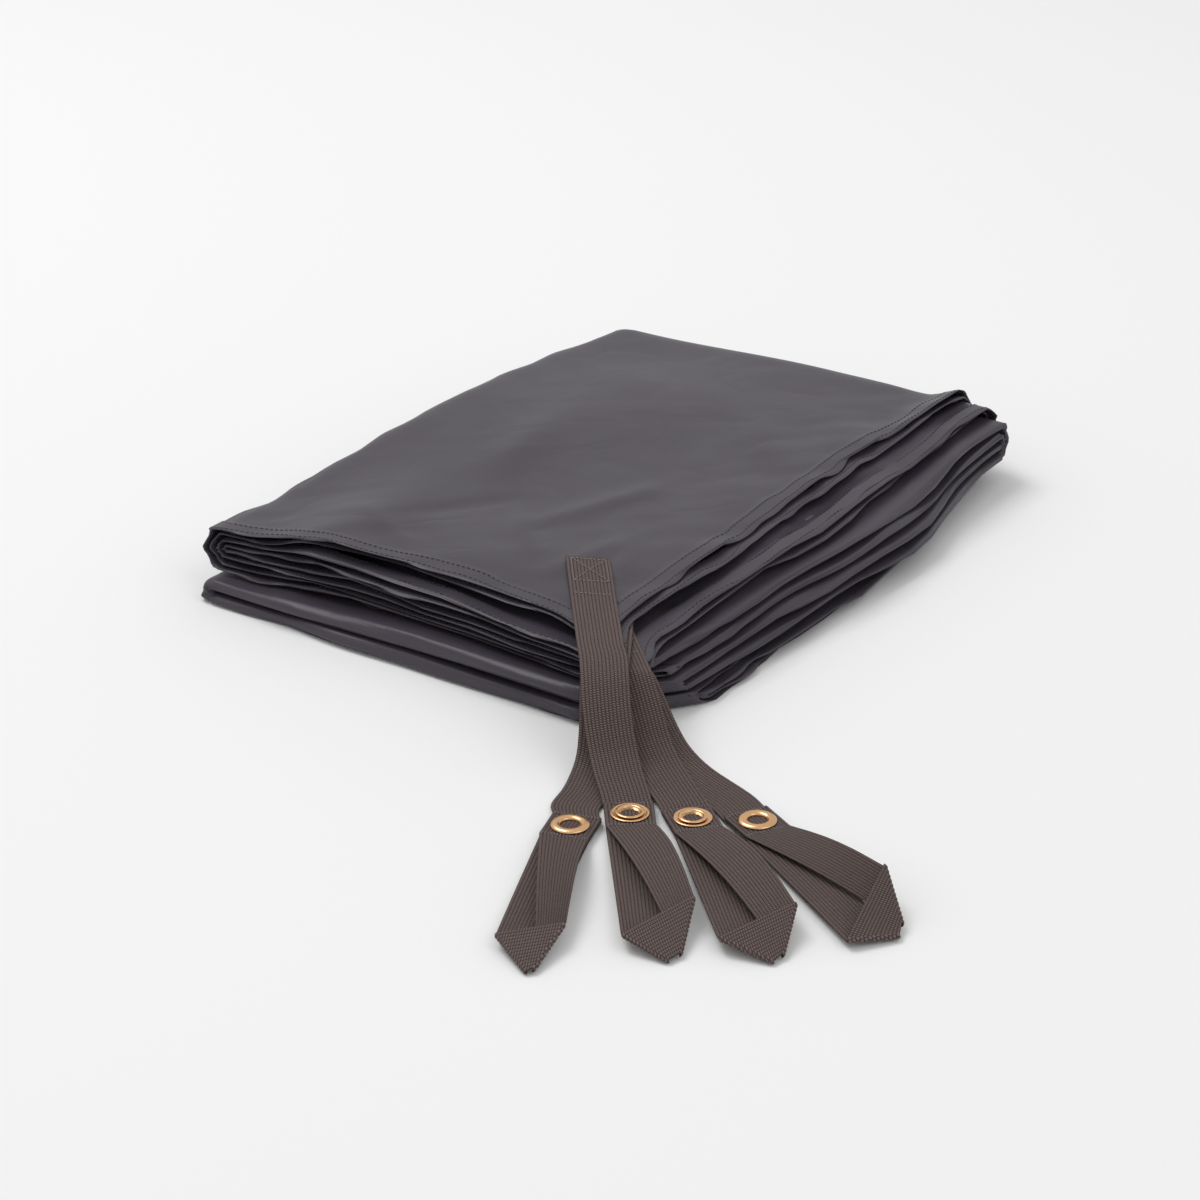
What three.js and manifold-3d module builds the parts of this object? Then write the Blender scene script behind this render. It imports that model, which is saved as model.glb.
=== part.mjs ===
// Folded tent groundsheet with four webbing corner straps and brass eyelets.
// Millimetres, +Z up. The pack rests on the floor at z = 0, centred on the origin;
// the corner with the straps points towards -Y.
import * as THREE from "three";
import { mergeVertices } from "three/addons/utils/BufferGeometryUtils.js";
import Module from "manifold-3d";

// Driving dimensions of the cloth
const CLOTH_THICKNESS = 1.4;
const HEM_THICKNESS = 1.7;
const HEM_WIDTH = 12;
const LAYER_PITCH = 3.0;
const LAYERS = 16;
const PACK_LENGTH = 414;
const PACK_WIDTH = 280;
const CROWN_OVERHANG_X = 6;
const CROWN_OVERHANG_Y = 6;

// Place of the pack: its near corner and the direction of its long side
const NEAR_CORNER = [-9.2, -253.5];
const LONG_SIDE_ANGLE = 54 * Math.PI / 180;

// Driving dimensions of the straps and eyelets
const WEBBING_WIDTH = 25;
const WEBBING_THICKNESS = 1.5;
const CLEARANCE = 0.3;
const FLANGE_RADIUS = 9.8;
const BARREL_RADIUS = 5.6;
const HOLE_RADIUS = 4.9;
const BRASS_THICKNESS = 0.6;
const ROW_TO_EYELET = 10.8;
const TAIL_PAST_ROW = 1.2;

// Each strap: how high its loop's upper leg arches, the gap between layers that its
// tab is sewn in, where the tab runs, its way down to the floor (x, y, height, turn of its width in
// degrees), the eyelet's place and turn, and the four corners of the folded tip:
// innerLeft and innerRight end the edge towards the pack, left and right the point.
const STRAPS = [
  {
    name: "1", arch: 8, eyelet: { x: -25.8, y: -380.5, turn: -17 }, domeUp: true,
    tab: { between: 2, share: 0.78, x: -5, y: -212, turn: 1, toX: -8.6, toY: -287 },
    fall: [
      { x: -9.2, y: -296, z: 38.5, turn: 0 }, { x: -9.4, y: -304, z: 30, turn: -1 },
      { x: -9.6, y: -311, z: 20, turn: -2 }, { x: -11.4, y: -321, z: 9.5, turn: -5 },
      { x: -17, y: -339, z: 3.2, turn: -12 }, { x: -25.4, y: -355, z: 1.9, turn: -16 },
    ],
    tip: {
      innerLeft: { x: -59.6, y: -486.5, z: 5 }, left: { x: -45, y: -513, z: 1 },
      right: { x: -41, y: -512, z: 1.5 }, innerRight: { x: -27, y: -484, z: 9 },
    },
  },
  {
    name: "2", arch: 8, eyelet: { x: 3.6, y: -368.6, turn: 3 }, domeUp: false,
    tab: { between: 0, share: 0, x: -18, y: -162, turn: -9, toX: -11, toY: -268 },
    fall: [
      { x: -9.5, y: -282, z: 49.5, turn: 1 }, { x: -8.8, y: -295, z: 45.5, turn: 1 },
      { x: -8, y: -305.5, z: 36, turn: 1 }, { x: -6.5, y: -314.5, z: 25, turn: 1 },
      { x: -4.2, y: -323.5, z: 15, turn: 2 }, { x: -1.6, y: -335, z: 8.8, turn: 3 },
      { x: 1.2, y: -347, z: 5.2, turn: 3 },
    ],
    tip: {
      innerLeft: { x: -1.4, y: -490.5, z: 7 }, left: { x: 19.8, y: -503.5, z: 1 },
      right: { x: 26, y: -498.5, z: 1.5 }, innerRight: { x: 33, y: -464.5, z: 12 },
    },
  },
  {
    name: "3", arch: 8, eyelet: { x: 34.6, y: -373.4, turn: 15 }, domeUp: false,
    tab: { between: 2, share: 0.26, x: -9, y: -216, turn: 6, toX: 3.4, toY: -285 },
    fall: [
      { x: 6.8, y: -293.5, z: 32.4, turn: 7 }, { x: 9.8, y: -301, z: 23.5, turn: 10 },
      { x: 13, y: -309, z: 14.5, turn: 12 }, { x: 18, y: -321, z: 7.6, turn: 13 },
      { x: 25.4, y: -340, z: 3.9, turn: 15 }, { x: 30.2, y: -355, z: 3.4, turn: 15 },
    ],
    tip: {
      innerLeft: { x: 43, y: -493.5, z: 7 }, left: { x: 67.6, y: -504.5, z: 1 },
      right: { x: 72.6, y: -499.5, z: 1.5 }, innerRight: { x: 80, y: -472, z: 13 },
    },
  },
  {
    name: "4", arch: 5, eyelet: { x: 66.4, y: -376, turn: 27 }, domeUp: true,
    tab: { between: 4, share: 0.5, x: -21, y: -214, turn: 24, toX: 6, toY: -276 },
    fall: [
      { x: 11.5, y: -286, z: 25.5, turn: 26 }, { x: 17.6, y: -296, z: 14.5, turn: 26 },
      { x: 24.4, y: -306, z: 6.5, turn: 27 }, { x: 35, y: -321, z: 2.2, turn: 27 },
      { x: 53.6, y: -347.5, z: 1.6, turn: 27 },
    ],
    tip: {
      innerLeft: { x: 102.4, y: -490.5, z: 4 }, left: { x: 127.4, y: -482.5, z: 1.5 },
      right: { x: 129.6, y: -474, z: 3 }, innerRight: { x: 123, y: -447.5, z: 19.5 },
    },
  },
];

// The four folds, first to last. Each turns the far part under the near part.
// reach is the depth of the stack below the top layer, bend the mean turning radius.
const ARC = (layers) => layers * LAYER_PITCH / 4;
const FOLD_4 = { axis: 0, depth: 7.5 * LAYER_PITCH, bend: ARC(16), at: PACK_LENGTH };
const FOLD_3 = { axis: 1, depth: 3.5 * LAYER_PITCH, bend: ARC(8), at: PACK_WIDTH };
const FOLD_2 = {
  axis: 0, depth: 1.5 * LAYER_PITCH, bend: ARC(4),
  at: 2 * FOLD_4.at + Math.PI * FOLD_4.bend + CROWN_OVERHANG_X,
};
const FOLD_1 = {
  axis: 1, depth: 0.5 * LAYER_PITCH, bend: ARC(2),
  at: 2 * FOLD_3.at + Math.PI * FOLD_3.bend + CROWN_OVERHANG_Y,
};
const FOLDS = [FOLD_1, FOLD_2, FOLD_3, FOLD_4];
const SHEET_LENGTH = 2 * FOLD_2.at + Math.PI * FOLD_2.bend;
const SHEET_WIDTH = 2 * FOLD_1.at + Math.PI * FOLD_1.bend;
const TOP_LAYER = (LAYERS - 1) * LAYER_PITCH + CLOTH_THICKNESS / 2;

// Where the hems lie after folding, as offsets into the pack, one row for each
// place that the hem passes: fold ends of its run from corner to corner.
// bow is how far the stretch after that place curves further in.
const HEM_RUNS = {
  nearLength: [
    { inset: 8, bow: 2 }, { inset: 27, bow: 0 }, { inset: -6, bow: 3 },
    { inset: 8, bow: 0 }, { inset: -4, bow: 0 },
  ],
  farLength: [
    { inset: 5, bow: 3 }, { inset: 23, bow: 0 }, { inset: -8, bow: 0 },
    { inset: 4, bow: 2 }, { inset: -6, bow: 0 },
  ],
  nearWidth: [
    { inset: 6, bow: 9 }, { inset: 0, bow: 5 }, { inset: -3, bow: 3 },
    { inset: 2, bow: 12 }, { inset: 3, bow: 0 },
  ],
  farWidth: [
    { inset: -5, bow: 2 }, { inset: 3, bow: 4 }, { inset: -4, bow: 3 },
    { inset: 2, bow: 6 }, { inset: -7, bow: 0 },
  ],
};

// How far the gaps between layers open: level counts from the top layer down.
// corner opens at the strap corner, side along the two open sides.
const GAPS = [
  { level: 2, corner: 4.6, side: 1.6, wave: 1.2, turns: 2.5, phase: 0.4 },
  { level: 3, corner: 0.5, side: 1.0, wave: 0.9, turns: 3.0, phase: 2.1 },
  { level: 4, corner: 2.2, side: 0.8, wave: 0.8, turns: 2.0, phase: 4.0 },
  { level: 6, corner: 0.6, side: 1.4, wave: 1.0, turns: 3.5, phase: 1.2 },
  { level: 8, corner: 0.3, side: 0.6, wave: 0.6, turns: 2.5, phase: 5.2 },
  { level: 10, corner: 0.2, side: 0.9, wave: 0.7, turns: 3.0, phase: 3.3 },
];

const clamp01 = (value) => Math.min(1, Math.max(0, value));
const smooth = (from, to, value) => {
  const k = clamp01((value - from) / (to - from));
  return k * k * (3 - 2 * k);
};
const mix = (a, b, k) => a + (b - a) * k;

// Turns the part of space past one crease under the part before it.
function foldUnder(point, fold, centre) {
  const run = point[fold.axis] - fold.at;
  if (run <= 0) return;
  const arc = Math.PI * fold.bend;
  const height = point[2] - centre;
  if (run < arc) {
    const angle = run / fold.bend;
    point[fold.axis] = fold.at + height * Math.sin(angle);
    point[2] = centre + height * Math.cos(angle);
  } else {
    point[fold.axis] = fold.at - (run - arc);
    point[2] = centre - height;
  }
}

// Offset of one hem along its run, smooth through the rows of its table.
function hemInset(rows, stops, along) {
  let k = 0;
  while (k < stops.length - 2 && along > stops[k + 1]) k += 1;
  const part = clamp01((along - stops[k]) / (stops[k + 1] - stops[k]));
  const bow = rows[k].bow * Math.sin(Math.PI * part) ** 2;
  return mix(rows[k].inset, rows[k + 1].inset, part * part * (3 - 2 * part)) + bow;
}

const LENGTH_STOPS = [0, FOLD_4.at + 19, FOLD_2.at + 5, SHEET_LENGTH - FOLD_4.at - 19, SHEET_LENGTH];
const WIDTH_STOPS = [0, FOLD_3.at + 9, FOLD_1.at + 2, SHEET_WIDTH - FOLD_3.at - 9, SHEET_WIDTH];
const INSET_FADE = 150;
const CORNER_PULL = 13;
const CORNER_REACH = 24;

// Moves the hems in or out within the flat sheet, fading towards the creases.
function placeHems(s, t) {
  const nearS = 1 - smooth(0, INSET_FADE, s);
  const farS = 1 - smooth(0, INSET_FADE, SHEET_LENGTH - s);
  const nearT = 1 - smooth(0, INSET_FADE, t);
  const farT = 1 - smooth(0, INSET_FADE, SHEET_WIDTH - t);
  const pullT = CORNER_PULL * Math.exp(-((Math.min(s, SHEET_LENGTH - s) / CORNER_REACH) ** 2));
  const pullS = CORNER_PULL * Math.exp(-((Math.min(t, SHEET_WIDTH - t) / CORNER_REACH) ** 2));
  const ds = nearS * (hemInset(HEM_RUNS.nearWidth, WIDTH_STOPS, t) - pullS)
    - farS * (hemInset(HEM_RUNS.farWidth, WIDTH_STOPS, t) - pullS);
  const dt = nearT * (hemInset(HEM_RUNS.nearLength, LENGTH_STOPS, s) - pullT)
    - farT * (hemInset(HEM_RUNS.farLength, LENGTH_STOPS, s) - pullT);
  return [s + ds, t + dt];
}

// Looseness of the pack: the lower layers stand out at the open sides, gaps
// open between layers near them, and the top lies in soft waves. Heights stay
// in order at every place, so layers never meet.
const SIDE_FADE = 150;
const GAP_CLEAR = (LAYER_PITCH - HEM_THICKNESS) / 2;
const CORNER_PRESS = 0.1;
const LOWER_HALF_PRESS = 7;
const CROWN_RISE = 1.2;
const CREST_RISE = 1.3;

// Parts of the pack that stand higher or lower, by a share of the height there.
const RISES = [
  { name: "right end", share: 0.17, fromX: 300, toX: 400, fromY: 50, toY: 22 },
  { name: "back corner", share: -0.11, fromX: 230, toX: 400, fromY: 130, toY: 270 },
  { name: "left end", share: -0.12, fromX: 200, toX: 40, fromY: 200, toY: 290 },
];

// How far the bottom stands out at the two open sides, and how it fades upwards.
const SPREAD_Y = { near: 30, middle: 36, fromX: 100, toX: 220, endX: [230, 430], fade: 0.7 };
const SPREAD_X = { near: 5, fade: 0.8 };
const RIPPLES_Y = [
  { size: 1.6, length: 34, slant: 7 }, { size: 1.2, length: 19, slant: -5 },
];
const RIPPLES_X = [
  { size: 1.4, length: 31, slant: -6 }, { size: 1.0, length: 17, slant: 8 },
];
const ripple = (waves, run, z) => waves.reduce(
  (sum, wave) => sum + wave.size * Math.sin(run / wave.length + z / wave.slant), 0,
);

// The lower layers are cut back slantwise at the strap corner.
const SLANT = { share: 1.6, fromY: 4, reachX: 150 };

// The back crease runs a little askew: drawn in at the left end, out at the right.
const ASKEW = { low: 14, high: 10, out: 5, fromY: 110, overX: 340, endX: 350 };

function looseHeight(x, y, z, openSide, corner, away) {
  const along = x / PACK_LENGTH - y / PACK_WIDTH;
  let height = z;
  for (const gap of GAPS) {
    const middle = TOP_LAYER - (gap.level - 0.5) * LAYER_PITCH;
    const above = clamp01((z - middle + GAP_CLEAR) / (2 * GAP_CLEAR));
    const wave = gap.side + gap.wave * Math.sin(2 * Math.PI * gap.turns * along + gap.phase);
    height += above * mix(openSide * wave * 0.5, gap.corner, corner);
  }
  const level = clamp01(z / TOP_LAYER);
  const pressed = smooth(70, 220, y) * (1 - smooth(120, 360, x));
  height -= LOWER_HALF_PRESS * pressed * (1 - Math.abs(2 * level - 1));
  const crest = Math.sin(x / 61 + y / 97 + 0.6) * Math.sin(y / 53 - x / 140 + 0.4);
  const inner = smooth(0, 60, x) * smooth(0, 50, y) * away;
  height += level * level * inner * (CROWN_RISE + CREST_RISE * crest);
  for (const { share, fromX, toX, fromY, toY } of RISES) {
    height *= 1 + share * smooth(fromX, toX, x) * smooth(fromY, toY, y);
  }
  return Math.max(0, height * (1 - CORNER_PRESS * corner));
}

function loosen([x, y, z]) {
  const sideX = 1 - smooth(0, SIDE_FADE, x);
  const sideY = 1 - smooth(0, SIDE_FADE, y);
  const corner = (1 - smooth(60, 170, x)) * (1 - smooth(60, 170, y));
  const away = (1 - smooth(PACK_LENGTH - 90, PACK_LENGTH - 10, x))
    * (1 - smooth(PACK_WIDTH - 80, PACK_WIDTH - 10, y));
  const openSide = Math.max(sideX, sideY) * away;
  const low = 1 - clamp01(z / TOP_LAYER);
  const reachY = mix(SPREAD_Y.near, SPREAD_Y.middle, smooth(SPREAD_Y.fromX, SPREAD_Y.toX, x))
    * (1 - smooth(...SPREAD_Y.endX, x)) * low ** SPREAD_Y.fade;
  const reachX = SPREAD_X.near * low ** SPREAD_X.fade;
  const free = away * (1 - corner);
  const outX = x + sideX * (ripple(RIPPLES_X, y, z) * free - reachX);
  const outY = y + sideY * (ripple(RIPPLES_Y, x, z) * free - reachY);
  const slant = SLANT.share * Math.max(0, SLANT.fromY - outY) * (1 - smooth(0, SLANT.reachX, x));
  const drawnIn = mix(mix(ASKEW.high, ASKEW.low, low), -ASKEW.out, smooth(0, ASKEW.overX, x));
  const back = drawnIn * smooth(ASKEW.fromY, PACK_WIDTH, y)
    * (1 - smooth(ASKEW.endX, PACK_LENGTH, x));
  return [
    outX + slant * Math.sqrt(low),
    outY + squareOff(x, y, z) - back,
    looseHeight(x, y, z, openSide, corner, away),
  ];
}

// Fills out the rounded back of each half of the stack, so it lies squarer. The lower
// half reaches out less than the upper one, most so at the near end.
const LOWER_REACH = -0.1;
const UPPER_REACH = 0.1;
function squareOff(x, y, z) {
  const past = y - PACK_WIDTH;
  if (past <= 0) return 0;
  const half = TOP_LAYER / 2;
  const radius = half / 2;
  const offset = Math.abs((z > half ? z - half : z) - radius) / radius;
  const round = Math.sqrt(Math.max(0.04, 1 - offset ** 2));
  const squarer = Math.max(0, 1 - offset ** 3) ** (1 / 3);
  const reach = mix(LOWER_REACH, UPPER_REACH, smooth(half - 1.5, half + 1.5, z));
  return past * (clamp01(squarer / round - 1) + reach * (1 - smooth(120, 360, x)));
}

// Pack coordinates (along the long side, along the short side, up) to the frame.
function toFrame([x, y, z]) {
  const c = Math.cos(LONG_SIDE_ANGLE);
  const s = Math.sin(LONG_SIDE_ANGLE);
  return [NEAR_CORNER[0] + c * x - s * y, NEAR_CORNER[1] + s * x + c * y, z];
}

// A point of the sheet, lift above its middle surface, carried through the folds.
function clothPoint(s, t, lift) {
  const [u, v] = placeHems(s, t);
  const point = [u, v, lift];
  for (const fold of FOLDS) foldUnder(point, fold, -fold.depth);
  point[2] += TOP_LAYER;
  return toFrame(loosen(point));
}

// Stations along one direction of the sheet: hem, flat spans that repeat in every
// layer, and evenly turned stations around each bend.
function stations(lastFold, firstFold, total, spanCells, turnCells, crownCells) {
  const span = [0, HEM_WIDTH];
  for (let i = 1; i <= spanCells; i += 1) {
    span.push(mix(HEM_WIDTH, lastFold.at, i / spanCells));
  }
  const arc = Math.PI * lastFold.bend;
  const half = [...span];
  for (let i = 1; i < turnCells; i += 1) half.push(lastFold.at + arc * i / turnCells);
  const back = span.map((value) => 2 * lastFold.at + arc - value);
  half.push(...back.reverse().filter((value) => value < firstFold.at - 1));
  half.push(firstFold.at);
  const crown = Math.PI * firstFold.bend;
  const list = [...half];
  for (let i = 1; i < crownCells; i += 1) list.push(firstFold.at + crown * i / crownCells);
  list.push(...half.map((value) => total - value).reverse());
  return list;
}

// Closed shell of a grid of points: upper and lower faces and a rim around.
function shellGeometry(rows, columns, upper, lower, crossed) {
  const positions = [...upper.flat(), ...lower.flat()];
  const count = rows * columns;
  const indices = [];
  const at = (i, j) => i * columns + j;
  for (let i = 0; i < rows - 1; i += 1) {
    for (let j = 0; j < columns - 1; j += 1) {
      const [a, b, c, d] = [at(i, j), at(i + 1, j), at(i + 1, j + 1), at(i, j + 1)];
      const cut = crossed(i, j) ? [b, c, d, b, d, a] : [a, b, c, a, c, d];
      indices.push(...cut);
      for (let k = 0; k < 6; k += 3) {
        indices.push(cut[k + 2] + count, cut[k + 1] + count, cut[k] + count);
      }
    }
  }
  const rim = [];
  for (let i = 0; i < rows - 1; i += 1) rim.push(at(i, 0));
  for (let j = 0; j < columns - 1; j += 1) rim.push(at(rows - 1, j));
  for (let i = rows - 1; i > 0; i -= 1) rim.push(at(i, columns - 1));
  for (let j = columns - 1; j > 0; j -= 1) rim.push(at(0, j));
  rim.forEach((p, k) => {
    const q = rim[(k + 1) % rim.length];
    indices.push(q, p, p + count, q, p + count, q + count);
  });
  const geometry = new THREE.BufferGeometry();
  geometry.setAttribute("position", new THREE.Float32BufferAttribute(positions, 3));
  geometry.setIndex(indices);
  return geometry;
}

function groundsheetGeometry() {
  const alongS = stations(FOLD_4, FOLD_2, SHEET_LENGTH, 9, 6, 5);
  const alongT = stations(FOLD_3, FOLD_1, SHEET_WIDTH, 6, 6, 4);
  const upper = [];
  const lower = [];
  for (const s of alongS) {
    for (const t of alongT) {
      const edge = Math.min(s, SHEET_LENGTH - s, t, SHEET_WIDTH - t);
      const half = (edge < HEM_WIDTH ? HEM_THICKNESS : CLOTH_THICKNESS) / 2;
      upper.push(clothPoint(s, t, half));
      lower.push(clothPoint(s, t, -half));
    }
  }
  const turnedS = alongS.map((s) => spanParity(s, FOLD_4, FOLD_2, SHEET_LENGTH));
  const turnedT = alongT.map((t) => spanParity(t, FOLD_3, FOLD_1, SHEET_WIDTH));
  const crossed = (i, j) => turnedS[i] !== turnedT[j];
  return shellGeometry(alongS.length, alongT.length, upper, lower, crossed);
}

// True where the sheet runs back towards the strap corner at this station.
function spanParity(value, lastFold, firstFold, total) {
  const half = value > firstFold.at + Math.PI * firstFold.bend / 2 ? total - value : value;
  const back = half > lastFold.at + Math.PI * lastFold.bend / 2;
  return back !== (half !== value);
}

// Webbing is carried along a list of sections; each has its two edge points and
// the direction of its face.
const LOWER_WEBBING = 2 * BRASS_THICKNESS + 2 * CLEARANCE + WEBBING_THICKNESS / 2;
const UPPER_WEBBING = LOWER_WEBBING + WEBBING_THICKNESS + CLEARANCE;
const TURN_RADIUS = (WEBBING_THICKNESS + CLEARANCE) / 2;
const UP = new THREE.Vector3(0, 0, 1);
const vector = ({ x, y, z }) => new THREE.Vector3(x, y, z);

function sectionAt(x, y, z, turn) {
  const angle = THREE.MathUtils.degToRad(turn);
  const across = new THREE.Vector3(Math.cos(angle), Math.sin(angle), 0);
  const centre = new THREE.Vector3(x, y, z);
  return {
    left: centre.clone().addScaledVector(across, -WEBBING_WIDTH / 2),
    right: centre.clone().addScaledVector(across, WEBBING_WIDTH / 2),
  };
}

// Edge points of the sewn tab, carried with the layer that it lies on.
const FRAME_COS = Math.cos(LONG_SIDE_ANGLE);
const FRAME_SIN = Math.sin(LONG_SIDE_ANGLE);
function onLayer(point, stackHeight) {
  const dx = point.x - NEAR_CORNER[0];
  const dy = point.y - NEAR_CORNER[1];
  const pack = [FRAME_COS * dx + FRAME_SIN * dy, FRAME_COS * dy - FRAME_SIN * dx, stackHeight];
  return toFrame(loosen(pack))[2];
}

const TAB_STEPS = 5;
function tabSections(tab) {
  const gapTop = TOP_LAYER - (tab.between - 1) * LAYER_PITCH - HEM_THICKNESS / 2;
  const gapBottom = TOP_LAYER - tab.between * LAYER_PITCH + HEM_THICKNESS / 2;
  const onTop = TOP_LAYER + HEM_THICKNESS / 2 + CLEARANCE + WEBBING_THICKNESS / 2;
  const height = tab.between === 0 ? onTop : mix(gapBottom, gapTop, tab.share);
  const sections = [];
  for (let i = 0; i <= TAB_STEPS; i += 1) {
    const k = i / TAB_STEPS;
    const section = sectionAt(mix(tab.x, tab.toX, k), mix(tab.y, tab.toY, k), 0, tab.turn);
    section.left.z = onLayer(section.left, height);
    section.right.z = onLayer(section.right, height);
    sections.push(section);
  }
  return sections;
}

// A leg of the loop: ruled between two edges that rise in a low arch.
function legSections(fromLeft, fromRight, toLeft, toRight, arch, steps) {
  const sections = [];
  for (let i = 1; i < steps; i += 1) {
    const k = i / steps;
    const lift = arch * Math.sin(Math.PI * k);
    const left = fromLeft.clone().lerp(toLeft, k);
    const right = fromRight.clone().lerp(toRight, k);
    left.z += lift;
    right.z += lift;
    sections.push({ left, right });
  }
  return sections;
}

// The webbing turned over along a slanting fold line, from lower to upper layer.
const TURN_STEPS = 4;
function turnSections(lineLeft, lineRight, middle) {
  const along = lineRight.clone().sub(lineLeft);
  const outward = new THREE.Vector3(along.y, -along.x, 0).normalize();
  const fromMiddle = lineLeft.clone().add(lineRight).multiplyScalar(0.5).sub(middle);
  if (outward.dot(fromMiddle) < 0) outward.negate();
  const sections = [];
  for (let i = 0; i <= TURN_STEPS; i += 1) {
    const angle = Math.PI * i / TURN_STEPS;
    const shift = outward.clone().multiplyScalar(TURN_RADIUS * Math.sin(angle));
    shift.z += TURN_RADIUS * (1 - Math.cos(angle));
    const face = UP.clone().multiplyScalar(Math.cos(angle));
    face.addScaledVector(outward, -Math.sin(angle));
    sections.push({ left: lineLeft.clone().add(shift), right: lineRight.clone().add(shift), face });
  }
  return sections;
}

const LEG_STEPS = 7;
const LOWER_ARCH = 0.3;
const CROSS_STEPS = 3;
function strapSections(strap) {
  const { eyelet, tip } = strap;
  const angle = THREE.MathUtils.degToRad(eyelet.turn);
  const row = (offset, z) => sectionAt(
    eyelet.x + offset * Math.sin(angle), eyelet.y - offset * Math.cos(angle), z, eyelet.turn,
  );
  const lowerRow = row(ROW_TO_EYELET, LOWER_WEBBING);
  const upperRow = row(ROW_TO_EYELET, UPPER_WEBBING);
  const tail = row(-ROW_TO_EYELET - TAIL_PAST_ROW, UPPER_WEBBING);
  const [innerLeft, left, right, innerRight] = [
    vector(tip.innerLeft), vector(tip.left), vector(tip.right), vector(tip.innerRight),
  ];
  const middle = innerLeft.clone().add(left).add(right).add(innerRight).multiplyScalar(0.25);
  const firstTurn = turnSections(innerLeft, left, middle);
  const secondTurn = turnSections(innerRight, right, middle).reverse();
  const crossing = [];
  for (let i = 1; i < CROSS_STEPS; i += 1) {
    const k = i / CROSS_STEPS;
    const start = firstTurn[TURN_STEPS];
    const end = secondTurn[0];
    crossing.push({
      left: start.left.clone().lerp(end.left, k),
      right: start.right.clone().lerp(end.right, k),
      face: UP.clone().negate(),
    });
  }
  const upperLeg = legSections(upperRow.left, upperRow.right, right, innerRight, strap.arch, LEG_STEPS)
    .reverse().map((section) => ({ left: section.right, right: section.left }));
  return [
    ...tabSections(strap.tab),
    ...strap.fall.map(({ x, y, z, turn }) => sectionAt(x, y, z, turn)),
    row(-ROW_TO_EYELET - TAIL_PAST_ROW, LOWER_WEBBING),
    lowerRow,
    ...legSections(lowerRow.left, lowerRow.right, innerLeft, left, LOWER_ARCH, LEG_STEPS),
    ...firstTurn, ...crossing, ...secondTurn,
    ...upperLeg,
    { left: upperRow.right, right: upperRow.left },
    { left: tail.right, right: tail.left },
  ];
}

// Faces of sections without a given one follow from the run of the webbing.
function faceOf(sections, k) {
  const section = sections[k];
  if (section.face) return section.face;
  const before = sections[Math.max(0, k - 1)];
  const after = sections[Math.min(sections.length - 1, k + 1)];
  const middleOf = ({ left, right }) => left.clone().add(right).multiplyScalar(0.5);
  const run = middleOf(after).sub(middleOf(before));
  const across = section.right.clone().sub(section.left);
  const face = new THREE.Vector3().crossVectors(run, across).normalize();
  return face.z < 0 ? face.negate() : face;
}

function ribbonGeometry(sections) {
  const upper = [];
  const lower = [];
  sections.forEach((section, k) => {
    const offset = faceOf(sections, k).clone().multiplyScalar(WEBBING_THICKNESS / 2);
    for (const edge of [section.left, section.right]) {
      upper.push(edge.clone().add(offset).toArray());
      lower.push(edge.clone().sub(offset).toArray());
    }
  });
  return shellGeometry(sections.length, 2, upper, lower, () => false);
}

// Solids for joining and cutting
const wasm = await Module();
wasm.setup();
function toSolid(geometry) {
  geometry.deleteAttribute("normal");
  geometry.deleteAttribute("uv");
  const merged = mergeVertices(geometry);
  return new wasm.Manifold(new wasm.Mesh({
    numProp: 3,
    vertProperties: new Float32Array(merged.attributes.position.array),
    triVerts: new Uint32Array(merged.index.array),
  }));
}
function toGeometry(solid) {
  const mesh = solid.getMesh();
  const geometry = new THREE.BufferGeometry();
  geometry.setAttribute("position", new THREE.BufferAttribute(mesh.vertProperties, 3));
  geometry.setIndex(new THREE.BufferAttribute(mesh.triVerts, 1));
  return geometry;
}

const BAR_WIDTH = 1.2;
const BAR_MARGIN = 2;
const ROUND_STEPS = 20;
// A strap: the webbing, joined to itself at both stitch rows, with the eyelet hole.
function strapGeometry(strap) {
  const { eyelet } = strap;
  let solid = toSolid(ribbonGeometry(strapSections(strap)));
  const angle = THREE.MathUtils.degToRad(eyelet.turn);
  const middle = (LOWER_WEBBING + UPPER_WEBBING) / 2;
  for (const offset of [-ROW_TO_EYELET, ROW_TO_EYELET - BAR_WIDTH]) {
    const bar = new THREE.BoxGeometry(WEBBING_WIDTH - 2 * BAR_MARGIN, BAR_WIDTH, WEBBING_THICKNESS);
    bar.rotateZ(angle);
    bar.translate(
      eyelet.x + offset * Math.sin(angle), eyelet.y - offset * Math.cos(angle), middle,
    );
    solid = solid.add(toSolid(bar));
  }
  const hole = new THREE.CylinderGeometry(
    BARREL_RADIUS + CLEARANCE, BARREL_RADIUS + CLEARANCE, 4 * UPPER_WEBBING, ROUND_STEPS,
  );
  hole.rotateX(Math.PI / 2);
  hole.translate(eyelet.x, eyelet.y, middle);
  return toGeometry(solid.subtract(toSolid(hole)));
}

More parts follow.
